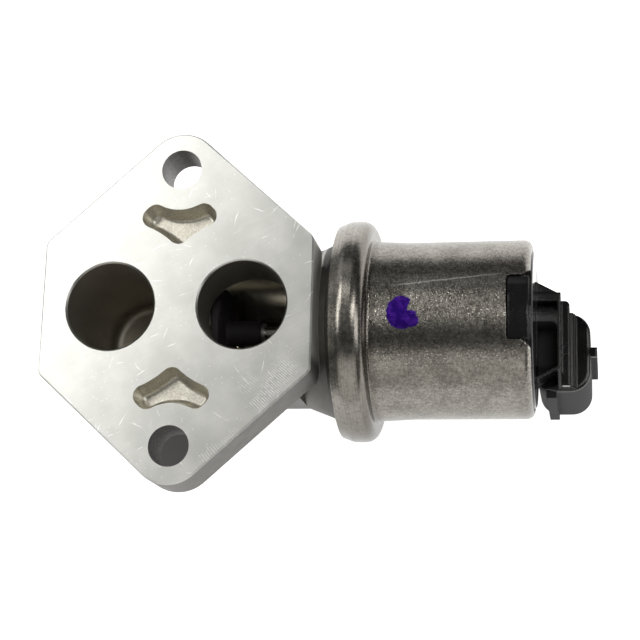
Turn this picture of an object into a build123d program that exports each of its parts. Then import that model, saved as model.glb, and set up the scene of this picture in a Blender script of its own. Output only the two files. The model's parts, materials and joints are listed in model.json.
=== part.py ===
from build123d import *
from math import asin, atan2, hypot, tan
import os

os.makedirs("parts", exist_ok=True)

# All sizes in millimetres. The mounting face is at z = 0 and looks along +Z. The solenoid axis runs along +X.

# Air ports
port_offset = 13.7
port_r = 9.15
port_chamfer = 0.35
blind_port_wall = 6.25
blind_port_floor_r = 2.0

# Mounting flange
bolt_spacing = 58.0
bolt_hole_r = 4.2
port_land = 5.35
flange_side_half = 13.95
flange_end_r = 7.8
flange_corner_r = 2.2
flange_t = 9.9
flange_edge_chamfer = 0.35
bolt_y = bolt_spacing / 2
flange_half_width = port_offset + port_r + port_land
flange_corner_reach = hypot(flange_half_width, bolt_y - flange_side_half)
flange_slant = atan2(bolt_y - flange_side_half, flange_half_width) + asin(flange_end_r / flange_corner_reach)
flange_apex = flange_side_half + flange_half_width * tan(flange_slant)

# Cast relief pockets between the ports and the bolt holes
pocket_port_land = 9.05
pocket_bolt_land = 4.5
pocket_lobe_setback = 1.5
pocket_corner_r = 2.2
pocket_depth = 4.3
pocket_draft = 15
pocket_floor_r = 0.9
pocket_port_r = port_r + pocket_port_land
pocket_bolt_r = bolt_hole_r + pocket_bolt_land
pocket_lobe_apex = bolt_y - pocket_lobe_setback

# Barrel of the casting around the valve chamber
axis_depth = 24.75
chamber_r = 13.7
barrel_wall = 2.6
barrel_end_r = 8.0
barrel_root_r = 1.6
barrel_toe = 0.27
chamber_floor_x = 3.3
seat_r = 8.6
seat_lip_h = 0.4
seat_lip_w = 0.8
barrel_r = chamber_r + barrel_wall
barrel_left = barrel_root_r + barrel_toe - flange_half_width
barrel_top = flange_t / 2
blind_port_depth = axis_depth + barrel_r - blind_port_wall
seat_x = chamber_floor_x + seat_lip_h

# Neck and round collar of the casting
can_inner_r = 17.2
collar_gap = 2.1
neck_length = 0.6
collar_shoulder = 3.2
collar_bevel_h = 1.3
collar_rise = 4.7
collar_bevel_length = 0.9
collar_length = 4.1
spigot_length = 4.3
collar_r = can_inner_r + collar_rise
collar_foot_r = collar_r - collar_bevel_h
collar_foot_x = flange_half_width + collar_gap
cone_r = collar_r - collar_shoulder
cone_end = collar_foot_x - neck_length
flange_edge_run = (barrel_r + barrel_root_r - flange_side_half) / tan(flange_slant)
cone_start = flange_half_width - flange_edge_run - barrel_toe
collar_bevel_x = collar_foot_x + collar_bevel_length
collar_face = collar_bevel_x + collar_length
spigot_end = collar_face + spigot_length

# Rolled ring of the drawn can
spigot_clearance = 0.1
ring_wall = 1.6
ring_crown_r = 3.0
ring_shoulder_r = 2.6
ring_root_r = 0.7
lip_overlap = 0.5
lip_t = 0.3
lip_rise = 0.75
ring_setback = 2.1
ring_overhang = 2.9
flare_gap = 0.2
flare_length = 1.9
flare_inset = 0.7
flare_rise = 0.9
spigot_r = can_inner_r - spigot_clearance
ring_r = collar_r + ring_wall
lip_x = collar_bevel_x - lip_overlap
lip_r = collar_r - lip_overlap * collar_bevel_h / collar_bevel_length
lip_tip_x = lip_x + lip_t
lip_tip_r = collar_r + lip_rise
ring_left = collar_bevel_x + ring_setback
ring_right = collar_face + ring_overhang
flare_top_x = collar_face + flare_gap
flare_top_r = collar_r - flare_inset
flare_foot_x = flare_top_x + flare_length
flare_foot_r = can_inner_r + flare_rise

# Solenoid stack inside the can
stack_clearance = 0.05
front_plate_t = 2.4
bobbin_length = 19.2
bobbin_flange_t = 1.3
bobbin_tube_wall = 1.2
winding_gap = 1.6
wave_washer_t = 0.8
wave_washer_w = 4.35
rear_plate_t = 1.8
stack_r = can_inner_r - stack_clearance
bobbin_start = spigot_end + front_plate_t
bobbin_end = bobbin_start + bobbin_length
winding_r = can_inner_r - winding_gap
rear_plate_start = bobbin_end + wave_washer_t
cap_start = rear_plate_start + rear_plate_t

# Drawn can beyond the ring, a slightly waisted tube with a turned-in end
cap_disc_t = 6.25
can_root_wall = 1.95
can_waist_wall = 1.55
can_rim_wall = 1.6
can_waist_setback = 6.4
can_end_wall = 1.15
can_end_r = 1.7
can_end_lip = 0.5
can_root_r = can_inner_r + can_root_wall
can_waist_r = can_inner_r + can_waist_wall
can_rim_r = can_inner_r + can_rim_wall
can_opening_r = can_inner_r - can_end_lip
can_waist_x = spigot_end + can_waist_setback
can_end_inside = cap_start + cap_disc_t
can_end = can_end_inside + can_end_wall

# Window in the end of the can
window_length = 4.8
window_mid_y = 0.4
window_half = 6.8
window_flare_length = 1.8
window_flare_half = 8.2
window_corner_r = 0.7
window_depth = 11.0
window_start = can_end - window_length
window_flare_x = can_end - window_flare_length

# Valve end of the plunger
stroke = 4.5
running_clearance = 0.05
shaft_r = 1.4
shaft_tip_length = 1.2
tip_chamfer = 0.4
poppet_seat_gap = 0.1
poppet_overlap = 1.0
poppet_t = 1.7
poppet_rim_r = 0.6
hub_wall = 1.3
hub_length = 7.7
hub_fillet_r = 0.9
clip_t = 0.6
poppet_clip_w = 0.8
poppet_r = seat_r + poppet_overlap
poppet_face = seat_x + poppet_seat_gap
poppet_back = poppet_face + poppet_t
shaft_tip_x = poppet_face - shaft_tip_length
hub_r = shaft_r + hub_wall
hub_end = poppet_back + hub_length
poppet_clip_r = shaft_r + poppet_clip_w

# Guides of the plunger
sleeve_wall = 0.6
bush_wall = 1.95
bush_flange_w = 1.6
bush_flange_t = 1.2
bush_reach = 3.2
seal_w = 3.15
seal_t = 1.8
seal_lip_bevel = 0.5
shaft_bore_r = shaft_r + running_clearance
bush_body_r = shaft_bore_r + bush_wall
bush_flange_r = bush_body_r + bush_flange_w
bush_end = bobbin_start + bush_reach
seal_r = shaft_bore_r + seal_w

# Magnet end of the plunger
armature_gap = 1.3
armature_length = 11.0
armature_r = 6.0
armature_chamfer = 0.5
armature_wall = 2.0
armature_pocket_depth = 3.5
spring_seat_t = 0.6
spring_seat_clearance = 0.15
shaft_clip_w = 1.0
shaft_end_length = 0.4
armature_start = bush_end + armature_gap
armature_end = armature_start + armature_length
armature_pocket_r = armature_r - armature_wall
armature_floor_x = armature_end - armature_pocket_depth
shaft_clip_r = shaft_r + shaft_clip_w
shaft_clip_x = armature_floor_x + spring_seat_t
shaft_end_x = shaft_clip_x + clip_t + shaft_end_length
sleeve_inner_r = armature_r + running_clearance
sleeve_outer_r = sleeve_inner_r + sleeve_wall
sleeve_bore_r = sleeve_outer_r + stack_clearance
bobbin_tube_r = sleeve_bore_r + bobbin_tube_wall

# Pole piece, adjusting screw and spring
core_gap = 0.4
core_seat_depth = 5.1
screw_length = 2.9
screw_slot_w = 1.0
screw_slot_depth = 1.1
spring_wire_r = 0.3
spring_clearance = 0.4
spring_turns = 5
spring_wire_sides = 6
core_start = armature_end + stroke + core_gap
core_end = cap_start + core_seat_depth
core_bore_r = armature_pocket_r
screw_start = core_end - screw_length
spring_mean_r = armature_pocket_r - spring_clearance - spring_wire_r
spring_start = armature_floor_x + spring_seat_t + spring_wire_r
spring_length = screw_start - spring_wire_r - spring_start

# Seal rings
seal_sides = 8
body_seal_section_r = 0.9
cap_seal_section_r = 0.7
cap_groove_setback = 0.7
half_side_turn = 180 / seal_sides

# Moulded end cap
cap_clearance = 0.1
cap_proud = 0.4
cap_chamfer = 0.3
key_clearance = 0.25
key_sink = 0.6
key_setback = 0.3
cap_r = can_inner_r - cap_clearance
cap_boss_r = can_opening_r - cap_clearance
cap_face = can_end + cap_proud
key_r = can_rim_r - key_sink
key_start = window_start + key_clearance
key_end = can_end - key_setback
cap_groove_x = cap_start + cap_groove_setback + cap_seal_section_r
cap_groove_r = can_inner_r - cap_seal_section_r

# Socket shell, with drops measured from the solenoid axis
shell_gap = 0.2
shell_length = 11.45
shell_mid_y = -3.8
shell_half = 8.45
shell_corner_r = 4.4
shell_wall = 1.2
shell_back_drop = 5.0
shell_back_t = 5.5
shell_depth = 19.5
shell_edge_r = 0.6
shell_start = can_end + shell_gap
shell_end = shell_start + shell_length
shell_mid = shell_start + shell_length / 2
shell_low_y = shell_mid_y - shell_half
shell_high_y = shell_mid_y + shell_half
shell_floor_drop = shell_back_drop + shell_back_t
shell_mouth_drop = shell_floor_drop + shell_depth

# Ribs outside the shell
rib_bury = 0.5
latch_rib_h = 1.35
latch_rib_w = 2.0
latch_rib_setback = 2.5
key_rib_h = 1.15
key_rib_w = 2.1
key_rib_inset = 2.1
key_rib_lead = 1.0
latch_rib_end_drop = shell_mouth_drop - latch_rib_setback
key_rib_start = shell_start + key_rib_inset
key_rib_drop = shell_back_drop + key_rib_lead

# Elbow on the back of the socket, a stair of four steps with a cored-out pocket
elbow_length = 5.6
elbow_bury = 1.5
elbow_wall = 0.8
elbow_low_inset = 4.35
stair_low_inset = 0.55
third_high_inset = 0.25
third_length = 0.7
third_drop = 3.5
second_length = 1.8
second_step_w = 2.1
second_drop = 1.5
second_corner_r = 1.0
elbow_step_w = 1.5
ridge_w = 0.4
ridge_drop = 4.4
gusset_length = 5.0
gusset_w = 2.7
gusset_drop = 0.3
elbow_end = can_end + elbow_length
elbow_foot_drop = shell_floor_drop - elbow_bury
elbow_low_y = shell_low_y + elbow_low_inset
stair_low_y = shell_low_y + stair_low_inset
third_end = elbow_end + second_length + third_length
third_high_y = shell_high_y - third_high_inset
second_end = elbow_end + second_length
second_high_y = third_high_y + second_step_w
elbow_high_y = second_high_y + elbow_step_w
gusset_end = can_end + gusset_length
gusset_high_y = elbow_high_y + gusset_w

# Pocket, slot and web of the elbow
recess_gap = 0.2
recess_low_inset = 0.4
recess_high_inset = 2.6
recess_floor_t = 2.9
recess_corner_r = 1.4
slot_w = 2.0
slot_inset = 1.8
slot_floor_drop = 4.0
web_inset = 0.8
web_w = 0.65
recess_start = cap_face + recess_gap
recess_end = elbow_end - elbow_wall
recess_low_y = stair_low_y + recess_low_inset
recess_high_y = third_high_y - recess_high_inset
recess_floor_drop = shell_floor_drop - recess_floor_t
slot_high_y = elbow_high_y - slot_inset
web_cap_y = recess_low_y + web_inset

# Blade terminals
blade_t = 0.8
blade_w = 2.8
blade_pitch = 5.0
blade_setback = 5.0
blade_tip_chamfer = 0.25
leg_bury = 1.5
plate_hole_clearance = 0.4
blade_low_y = shell_mid_y - blade_pitch / 2
blade_high_y = shell_mid_y + blade_pitch / 2
blade_tip_drop = shell_mouth_drop - blade_setback
leg_drop = shell_floor_drop - leg_bury
plate_hole_w = blade_w + 2 * plate_hole_clearance
plate_hole_h = blade_t + 2 * plate_hole_clearance

solenoid_axis = Axis((0, 0, -axis_depth), (1, 0, 0))
profile_plane = Plane(origin=(0, 0, -axis_depth), x_dir=(1, 0, 0), z_dir=(0, -1, 0))


def station(x):
    """Plane across the solenoid axis at the length x, with local x along Y and local y along Z."""
    return Plane(origin=(x, 0, -axis_depth), x_dir=(0, 1, 0), z_dir=(1, 0, 0))


def level(drop):
    """Plane parallel to the mounting face, the given drop below the solenoid axis."""
    return Plane.XY.offset(-axis_depth - drop)


# Barrel of the casting, with its rounded blind end
with BuildPart() as barrel:
    with BuildSketch(station(barrel_left)):
        Circle(barrel_r)
        with Locations((0, (axis_depth - barrel_top) / 2)):
            Rectangle(2 * barrel_r, axis_depth - barrel_top)
    extrude(amount=cone_start - barrel_left)
    barrel_rim = barrel.edges().filter_by_position(Axis.X, barrel_left, barrel_left)
    fillet(barrel_rim.sort_by(Axis.Z)[:-1], barrel_end_r)

# Cast valve body
with BuildPart() as valve_body:
    with BuildSketch(Plane.XY) as flange_outline:
        with BuildLine():
            Polyline(
                (flange_half_width, -flange_side_half),
                (flange_half_width, flange_side_half),
                (0, flange_apex),
                (-flange_half_width, flange_side_half),
                (-flange_half_width, -flange_side_half),
                (0, -flange_apex),
                close=True,
            )
        make_face()
        end_corners = flange_outline.vertices().group_by(Axis.Y)
        fillet(end_corners[0] + end_corners[-1], flange_end_r)
        side_corners = flange_outline.vertices().group_by(Axis.X)
        fillet(side_corners[0] + side_corners[-1], flange_corner_r)
    extrude(amount=-flange_t)
    chamfer(valve_body.faces().sort_by(Axis.Z)[-1].edges(), flange_edge_chamfer)
    add(barrel.part)
    flange_back_edges = valve_body.edges().filter_by_position(Axis.Z, -flange_t, -flange_t)
    barrel_foot = flange_back_edges.filter_by(lambda edge: abs(edge.center().Y) <= barrel_r)
    fillet(barrel_foot.filter_by(lambda edge: barrel_left <= edge.center().X < cone_start), barrel_root_r)
    with BuildSketch(profile_plane):
        with BuildLine():
            Polyline(
                (cone_start, 0),
                (cone_start, barrel_r),
                (cone_end, cone_r),
                (collar_foot_x, collar_foot_r),
                (collar_bevel_x, collar_r),
                (collar_face, collar_r),
                (collar_face, spigot_r),
                (spigot_end, spigot_r),
                (spigot_end, 0),
                close=True,
            )
        make_face()
    revolve(axis=solenoid_axis)
    with BuildSketch(station(chamber_floor_x)):
        Circle(chamber_r)
    extrude(amount=spigot_end - chamber_floor_x, mode=Mode.SUBTRACT)
    with BuildSketch(station(chamber_floor_x)):
        Circle(seat_r + seat_lip_w)
    extrude(amount=seat_lip_h)
    with BuildSketch(station(seat_x)):
        Circle(seat_r)
    extrude(amount=-(seat_x + port_offset), mode=Mode.SUBTRACT)
    with BuildSketch(Plane.XY):
        with Locations((port_offset, 0)):
            Circle(port_r)
    extrude(amount=-axis_depth, mode=Mode.SUBTRACT)
    with BuildSketch(Plane.XY):
        with Locations((-port_offset, 0)):
            Circle(port_r)
    extrude(amount=-blind_port_depth, mode=Mode.SUBTRACT)
    blind_floor = valve_body.edges().filter_by_position(Axis.Z, -blind_port_depth, -blind_port_depth)
    fillet(blind_floor.filter_by(GeomType.CIRCLE), blind_port_floor_r)
    port_rims = valve_body.edges().filter_by(GeomType.CIRCLE).filter_by_position(Axis.Z, 0, 0)
    chamfer(port_rims.filter_by(lambda rim: abs(rim.radius - port_r) < port_chamfer), port_chamfer)
    with BuildSketch(Plane.XY):
        with Locations((0, bolt_y), (0, -bolt_y)):
            Circle(bolt_hole_r)
    extrude(amount=-flange_t, mode=Mode.SUBTRACT)
    with BuildSketch(Plane.XY) as pocket_outline:
        with BuildLine():
            Polyline(
                (0, pocket_lobe_apex),
                (-port_offset, pocket_lobe_apex - port_offset),
                (-port_offset, port_r),
                (port_offset, port_r),
                (port_offset, pocket_lobe_apex - port_offset),
                close=True,
            )
        make_face()
        with Locations((port_offset, 0), (-port_offset, 0)):
            Circle(pocket_port_r, mode=Mode.SUBTRACT)
        with Locations((0, bolt_y)):
            Circle(pocket_bolt_r, mode=Mode.SUBTRACT)
        fillet(pocket_outline.vertices(), pocket_corner_r)
        mirror(about=Plane.XZ)
    extrude(amount=-pocket_depth, taper=pocket_draft, mode=Mode.SUBTRACT)
    fillet(valve_body.edges().filter_by_position(Axis.Z, -pocket_depth, -pocket_depth), pocket_floor_r)
valve_body.part.label = "valve_body"
export_step(valve_body.part, "parts/valve_body.step")

# Drawn can with its ring rolled over the collar
with BuildPart() as solenoid_can:
    with BuildSketch(profile_plane) as can_profile:
        with BuildLine():
            Polyline(
                (lip_x, lip_r),
                (lip_tip_x, lip_tip_r),
                (ring_left, ring_r),
                (ring_right, ring_r),
                (ring_right, can_root_r),
                (can_waist_x, can_waist_r),
                (can_end, can_rim_r),
                (can_end, can_opening_r),
                (can_end_inside, can_opening_r),
                (can_end_inside, can_inner_r),
                (spigot_end, can_inner_r),
                (flare_foot_x, flare_foot_r),
                (flare_top_x, flare_top_r),
                (collar_face, collar_r),
                (collar_bevel_x, collar_r),
                close=True,
            )
        make_face()
        fillet(can_profile.vertices().sort_by_distance((can_end, can_rim_r))[0], can_end_r)
        fillet(can_profile.vertices().sort_by_distance((ring_left, ring_r))[0], ring_crown_r)
        fillet(can_profile.vertices().sort_by_distance((ring_right, ring_r))[0], ring_shoulder_r)
        fillet(can_profile.vertices().sort_by_distance((ring_right, can_root_r))[0], ring_root_r)
    revolve(axis=solenoid_axis)
    with BuildSketch(Plane.XY) as window_outline:
        with BuildLine():
            Polyline(
                (window_start, window_mid_y - window_half),
                (window_flare_x, window_mid_y - window_half),
                (can_end, window_mid_y - window_flare_half),
                (can_end + can_end_wall, window_mid_y - window_flare_half),
                (can_end + can_end_wall, window_mid_y + window_flare_half),
                (can_end, window_mid_y + window_flare_half),
                (window_flare_x, window_mid_y + window_half),
                (window_start, window_mid_y + window_half),
                close=True,
            )
        make_face()
        fillet(window_outline.vertices().group_by(Axis.X)[0], window_corner_r)
    extrude(amount=-axis_depth + window_depth, mode=Mode.SUBTRACT)
solenoid_can.part.label = "solenoid_can"
export_step(solenoid_can.part, "parts/solenoid_can.step")

# Blade terminals, bent once inside the back of the socket
with BuildPart() as terminal_left:
    with BuildSketch(level(leg_drop)):
        with Locations((shell_mid, blade_low_y)):
            Rectangle(blade_t, blade_w)
    extrude(amount=leg_drop - blade_tip_drop)
    chamfer(terminal_left.faces().sort_by(Axis.Z)[0].edges().filter_by(Axis.Y), blade_tip_chamfer)
    with BuildSketch(station(bobbin_end)):
        with Locations((blade_low_y, -leg_drop)):
            Rectangle(blade_w, blade_t)
    extrude(amount=shell_mid + blade_t / 2 - bobbin_end)
terminal_left.part.label = "terminal_left"
export_step(terminal_left.part, "parts/terminal_left.step")

with BuildPart() as terminal_right:
    add(terminal_left.part.moved(Location((0, blade_pitch, 0))))
terminal_right.part.label = "terminal_right"
export_step(terminal_right.part, "parts/terminal_right.step")

# Key of the end cap that fills the window
with BuildPart() as cap_key:
    with BuildSketch(station(key_start)):
        Circle(key_r)
    extrude(amount=key_end - key_start)
    with BuildSketch(Plane.XY):
        with Locations(((window_start + can_end) / 2, window_mid_y)):
            Rectangle(2 * window_half, 2 * (window_half - key_clearance))
    extrude(amount=-axis_depth + window_depth, mode=Mode.INTERSECT)

# Moulded end cap with socket and elbow
with BuildPart() as connector_cap:
    with BuildSketch(station(cap_start)):
        Circle(cap_r)
    extrude(amount=cap_disc_t)
    with BuildSketch(station(can_end_inside)):
        Circle(cap_boss_r)
    extrude(amount=cap_face - can_end_inside)
    chamfer(connector_cap.faces().sort_by(Axis.X)[-1].edges(), cap_chamfer)
    add(cap_key.part)
    with BuildSketch(profile_plane):
        with Locations((cap_groove_x, cap_groove_r)):
            Rectangle(2 * cap_seal_section_r, 2 * cap_seal_section_r)
    revolve(axis=solenoid_axis, mode=Mode.SUBTRACT)
    with BuildSketch(station(cap_start)):
        Circle(sleeve_inner_r + stack_clearance)
    extrude(amount=core_end - cap_start, mode=Mode.SUBTRACT)
    with BuildSketch(level(shell_back_drop)):
        with Locations((shell_mid, shell_mid_y)):
            RectangleRounded(shell_length, 2 * shell_half, shell_corner_r)
    extrude(amount=shell_back_drop - shell_mouth_drop)
    shell_back_z = -axis_depth - shell_back_drop
    shell_back_edges = connector_cap.edges().filter_by_position(Axis.Z, shell_back_z, shell_back_z)
    fillet(shell_back_edges.filter_by(lambda edge: edge.center().X > shell_mid), shell_edge_r)
    with BuildSketch(level(gusset_drop)):
        with BuildLine():
            Polyline(
                (can_end, elbow_high_y),
                (gusset_end, elbow_high_y),
                (can_end, gusset_high_y),
                close=True,
            )
        make_face()
    extrude(amount=gusset_drop - elbow_foot_drop)
    with BuildSketch(level(0)):
        with Locations(((can_end + elbow_end) / 2, (elbow_low_y + elbow_high_y) / 2)):
            Rectangle(elbow_end - can_end, elbow_high_y - elbow_low_y)
    extrude(amount=-elbow_foot_drop)
    with BuildSketch(station(recess_end)):
        with BuildLine():
            Polyline(
                (elbow_low_y, 0),
                (stair_low_y, -shell_back_drop),
                (elbow_low_y, -elbow_foot_drop),
                close=True,
            )
        make_face()
    extrude(amount=elbow_wall)
    with BuildSketch(level(second_drop)) as second_step:
        with Locations(((elbow_end + second_end) / 2, (stair_low_y + second_high_y) / 2)):
            Rectangle(second_end - elbow_end, second_high_y - stair_low_y)
        fillet(second_step.vertices().group_by(Axis.X)[-1].sort_by(Axis.Y)[-1], second_corner_r)
    extrude(amount=second_drop - elbow_foot_drop)
    with BuildSketch(level(third_drop)):
        with Locations(((second_end + third_end) / 2, (stair_low_y + third_high_y) / 2)):
            Rectangle(third_end - second_end, third_high_y - stair_low_y)
    extrude(amount=third_drop - elbow_foot_drop)
    with BuildSketch(level(ridge_drop)):
        with Locations((third_end + ridge_w / 2, (stair_low_y + third_high_y) / 2)):
            Rectangle(ridge_w, third_high_y - stair_low_y)
    extrude(amount=ridge_drop - elbow_foot_drop)
    with BuildSketch(level(shell_back_drop)):
        with Locations((shell_end + (latch_rib_h - rib_bury) / 2, shell_mid_y)):
            Rectangle(latch_rib_h + rib_bury, latch_rib_w)
    extrude(amount=shell_back_drop - latch_rib_end_drop)
    with BuildSketch(level(key_rib_drop)):
        with Locations((key_rib_start + key_rib_w / 2, shell_low_y - (key_rib_h - rib_bury) / 2)):
            Rectangle(key_rib_w, key_rib_h + rib_bury)
    extrude(amount=key_rib_drop - shell_mouth_drop)
    with BuildSketch(level(shell_mouth_drop)):
        with Locations((shell_mid, shell_mid_y)):
            RectangleRounded(
                shell_length - 2 * shell_wall,
                2 * (shell_half - shell_wall),
                shell_corner_r - shell_wall,
            )
    extrude(amount=shell_depth, mode=Mode.SUBTRACT)
    with BuildSketch(level(0)) as recess_outline:
        with Locations(((recess_start + recess_end) / 2, (recess_low_y + recess_high_y) / 2)):
            Rectangle(recess_end - recess_start, recess_high_y - recess_low_y)
        fillet(recess_outline.vertices().group_by(Axis.X)[-1], recess_corner_r)
    extrude(amount=-recess_floor_drop, mode=Mode.SUBTRACT)
    with BuildSketch(level(0)):
        with Locations(((recess_start + recess_end) / 2, slot_high_y - slot_w / 2)):
            Rectangle(recess_end - recess_start, slot_w)
    extrude(amount=-slot_floor_drop, mode=Mode.SUBTRACT)
    with BuildSketch(level(0)):
        with BuildLine():
            Polyline(
                (cap_face, web_cap_y - web_w / 2),
                (elbow_end - elbow_wall / 2, elbow_low_y - web_w / 2),
                (elbow_end - elbow_wall / 2, elbow_low_y + web_w / 2),
                (cap_face, web_cap_y + web_w / 2),
                close=True,
            )
        make_face()
    extrude(amount=-elbow_foot_drop)
    add(terminal_left.part, mode=Mode.SUBTRACT)
    add(terminal_right.part, mode=Mode.SUBTRACT)
connector_cap.part.label = "connector_cap"
export_step(connector_cap.part, "parts/connector_cap.step")

# Flux plates
with BuildPart() as front_plate:
    with BuildSketch(station(spigot_end)):
        Circle(stack_r)
        Circle(bush_body_r, mode=Mode.SUBTRACT)
    extrude(amount=front_plate_t)
front_plate.part.label = "front_plate"
export_step(front_plate.part, "parts/front_plate.step")

with BuildPart() as rear_plate:
    with BuildSketch(station(rear_plate_start)):
        Circle(stack_r)
        Circle(sleeve_bore_r, mode=Mode.SUBTRACT)
        with Locations((blade_low_y, -leg_drop), (blade_high_y, -leg_drop)):
            Rectangle(plate_hole_w, plate_hole_h, mode=Mode.SUBTRACT)
    extrude(amount=rear_plate_t)
rear_plate.part.label = "rear_plate"
export_step(rear_plate.part, "parts/rear_plate.step")

# Coil former and coil
with BuildPart() as bobbin:
    with BuildSketch(station(bobbin_start)):
        Circle(stack_r)
    extrude(amount=bobbin_flange_t)
    with BuildSketch(station(bobbin_end - bobbin_flange_t)):
        Circle(stack_r)
    extrude(amount=bobbin_flange_t)
    with BuildSketch(station(bobbin_start)):
        Circle(bobbin_tube_r)
    extrude(amount=bobbin_length)
    with BuildSketch(station(bobbin_start)):
        Circle(sleeve_bore_r)
    extrude(amount=bobbin_length, mode=Mode.SUBTRACT)
bobbin.part.label = "bobbin"
export_step(bobbin.part, "parts/bobbin.step")

with BuildPart() as winding:
    with BuildSketch(station(bobbin_start + bobbin_flange_t)):
        Circle(winding_r)
        Circle(bobbin_tube_r, mode=Mode.SUBTRACT)
    extrude(amount=bobbin_length - 2 * bobbin_flange_t)
winding.part.label = "winding"
export_step(winding.part, "parts/winding.step")

with BuildPart() as wave_washer:
    with BuildSketch(station(bobbin_end)):
        Circle(stack_r)
        Circle(stack_r - wave_washer_w, mode=Mode.SUBTRACT)
    extrude(amount=wave_washer_t)
wave_washer.part.label = "wave_washer"
export_step(wave_washer.part, "parts/wave_washer.step")

# Guides
with BuildPart() as guide_sleeve:
    with BuildSketch(station(bobbin_start)):
        Circle(sleeve_outer_r)
        Circle(sleeve_inner_r, mode=Mode.SUBTRACT)
    extrude(amount=cap_start - bobbin_start)
guide_sleeve.part.label = "guide_sleeve"
export_step(guide_sleeve.part, "parts/guide_sleeve.step")

with BuildPart() as front_bush:
    with BuildSketch(station(spigot_end - bush_flange_t)):
        Circle(bush_flange_r)
    extrude(amount=bush_flange_t)
    with BuildSketch(station(spigot_end)):
        Circle(bush_body_r)
    extrude(amount=bush_end - spigot_end)
    with BuildSketch(station(spigot_end - bush_flange_t)):
        Circle(shaft_bore_r)
    extrude(amount=bush_end - spigot_end + bush_flange_t, mode=Mode.SUBTRACT)
front_bush.part.label = "front_bush"
export_step(front_bush.part, "parts/front_bush.step")

with BuildPart() as shaft_seal:
    with BuildSketch(station(spigot_end - bush_flange_t - seal_t)):
        Circle(seal_r)
        Circle(shaft_bore_r, mode=Mode.SUBTRACT)
    extrude(amount=seal_t)
    chamfer(shaft_seal.faces().sort_by(Axis.X)[0].edges().sort_by(SortBy.RADIUS)[-1], seal_lip_bevel)
shaft_seal.part.label = "shaft_seal"
export_step(shaft_seal.part, "parts/shaft_seal.step")

# Pole piece and the screw that sets the spring load
with BuildPart() as fixed_core:
    with BuildSketch(station(core_start)):
        Circle(sleeve_inner_r)
        Circle(core_bore_r, mode=Mode.SUBTRACT)
    extrude(amount=core_end - core_start)
fixed_core.part.label = "fixed_core"
export_step(fixed_core.part, "parts/fixed_core.step")

with BuildPart() as adjusting_screw:
    with BuildSketch(station(screw_start)):
        Circle(core_bore_r)
    extrude(amount=screw_length)
    with BuildSketch(station(core_end)):
        Rectangle(screw_slot_w, 2 * core_bore_r)
    extrude(amount=-screw_slot_depth, mode=Mode.SUBTRACT)
adjusting_screw.part.label = "adjusting_screw"
export_step(adjusting_screw.part, "parts/adjusting_screw.step")

# Seal rings
with BuildPart() as body_seal:
    with BuildSketch(profile_plane):
        with Locations((collar_face + body_seal_section_r, spigot_r + body_seal_section_r)):
            RegularPolygon(body_seal_section_r, seal_sides, major_radius=False, rotation=half_side_turn)
    revolve(axis=solenoid_axis)
body_seal.part.label = "body_seal"
export_step(body_seal.part, "parts/body_seal.step")

with BuildPart() as cap_seal:
    with BuildSketch(profile_plane):
        with Locations((cap_groove_x, cap_groove_r)):
            RegularPolygon(cap_seal_section_r, seal_sides, major_radius=False, rotation=half_side_turn)
    revolve(axis=solenoid_axis)
cap_seal.part.label = "cap_seal"
export_step(cap_seal.part, "parts/cap_seal.step")

# Plunger
with BuildPart() as valve_shaft:
    with BuildSketch(station(shaft_tip_x)):
        Circle(shaft_r)
    extrude(amount=shaft_end_x - shaft_tip_x)
    shaft_ends = valve_shaft.faces().sort_by(Axis.X)
    chamfer(shaft_ends[0].edges() + shaft_ends[-1].edges(), tip_chamfer)
valve_shaft.part.label = "valve_shaft"
export_step(valve_shaft.part, "parts/valve_shaft.step")

with BuildPart() as valve_poppet:
    with BuildSketch(station(poppet_face)):
        Circle(poppet_r)
    extrude(amount=poppet_t)
    fillet(valve_poppet.edges().filter_by(GeomType.CIRCLE), poppet_rim_r)
    with BuildSketch(station(poppet_back)):
        Circle(hub_r)
    extrude(amount=hub_length)
    back_edges = valve_poppet.edges().filter_by_position(Axis.X, poppet_back, poppet_back)
    fillet(back_edges.sort_by(SortBy.RADIUS)[0], hub_fillet_r)
    with BuildSketch(station(poppet_face)):
        Circle(shaft_r)
    extrude(amount=hub_end - poppet_face, mode=Mode.SUBTRACT)
valve_poppet.part.label = "valve_poppet"
export_step(valve_poppet.part, "parts/valve_poppet.step")

with BuildPart() as poppet_clip:
    with BuildSketch(station(hub_end)):
        Circle(poppet_clip_r)
        Circle(shaft_r, mode=Mode.SUBTRACT)
    extrude(amount=clip_t)
poppet_clip.part.label = "poppet_clip"
export_step(poppet_clip.part, "parts/poppet_clip.step")

with BuildPart() as armature:
    with BuildSketch(station(armature_start)):
        Circle(armature_r)
    extrude(amount=armature_length)
    armature_ends = armature.faces().sort_by(Axis.X)
    chamfer(armature_ends[0].edges() + armature_ends[-1].edges(), armature_chamfer)
    with BuildSketch(station(armature_floor_x)):
        Circle(armature_pocket_r)
    extrude(amount=armature_pocket_depth, mode=Mode.SUBTRACT)
    with BuildSketch(station(armature_start)):
        Circle(shaft_r)
    extrude(amount=armature_length, mode=Mode.SUBTRACT)
armature.part.label = "armature"
export_step(armature.part, "parts/armature.step")

with BuildPart() as spring_seat:
    with BuildSketch(station(armature_floor_x)):
        Circle(armature_pocket_r - spring_seat_clearance)
        Circle(shaft_r, mode=Mode.SUBTRACT)
    extrude(amount=spring_seat_t)
spring_seat.part.label = "spring_seat"
export_step(spring_seat.part, "parts/spring_seat.step")

with BuildPart() as shaft_clip:
    with BuildSketch(station(shaft_clip_x)):
        Circle(shaft_clip_r)
        Circle(shaft_r, mode=Mode.SUBTRACT)
    extrude(amount=clip_t)
shaft_clip.part.label = "shaft_clip"
export_step(shaft_clip.part, "parts/shaft_clip.step")

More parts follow.
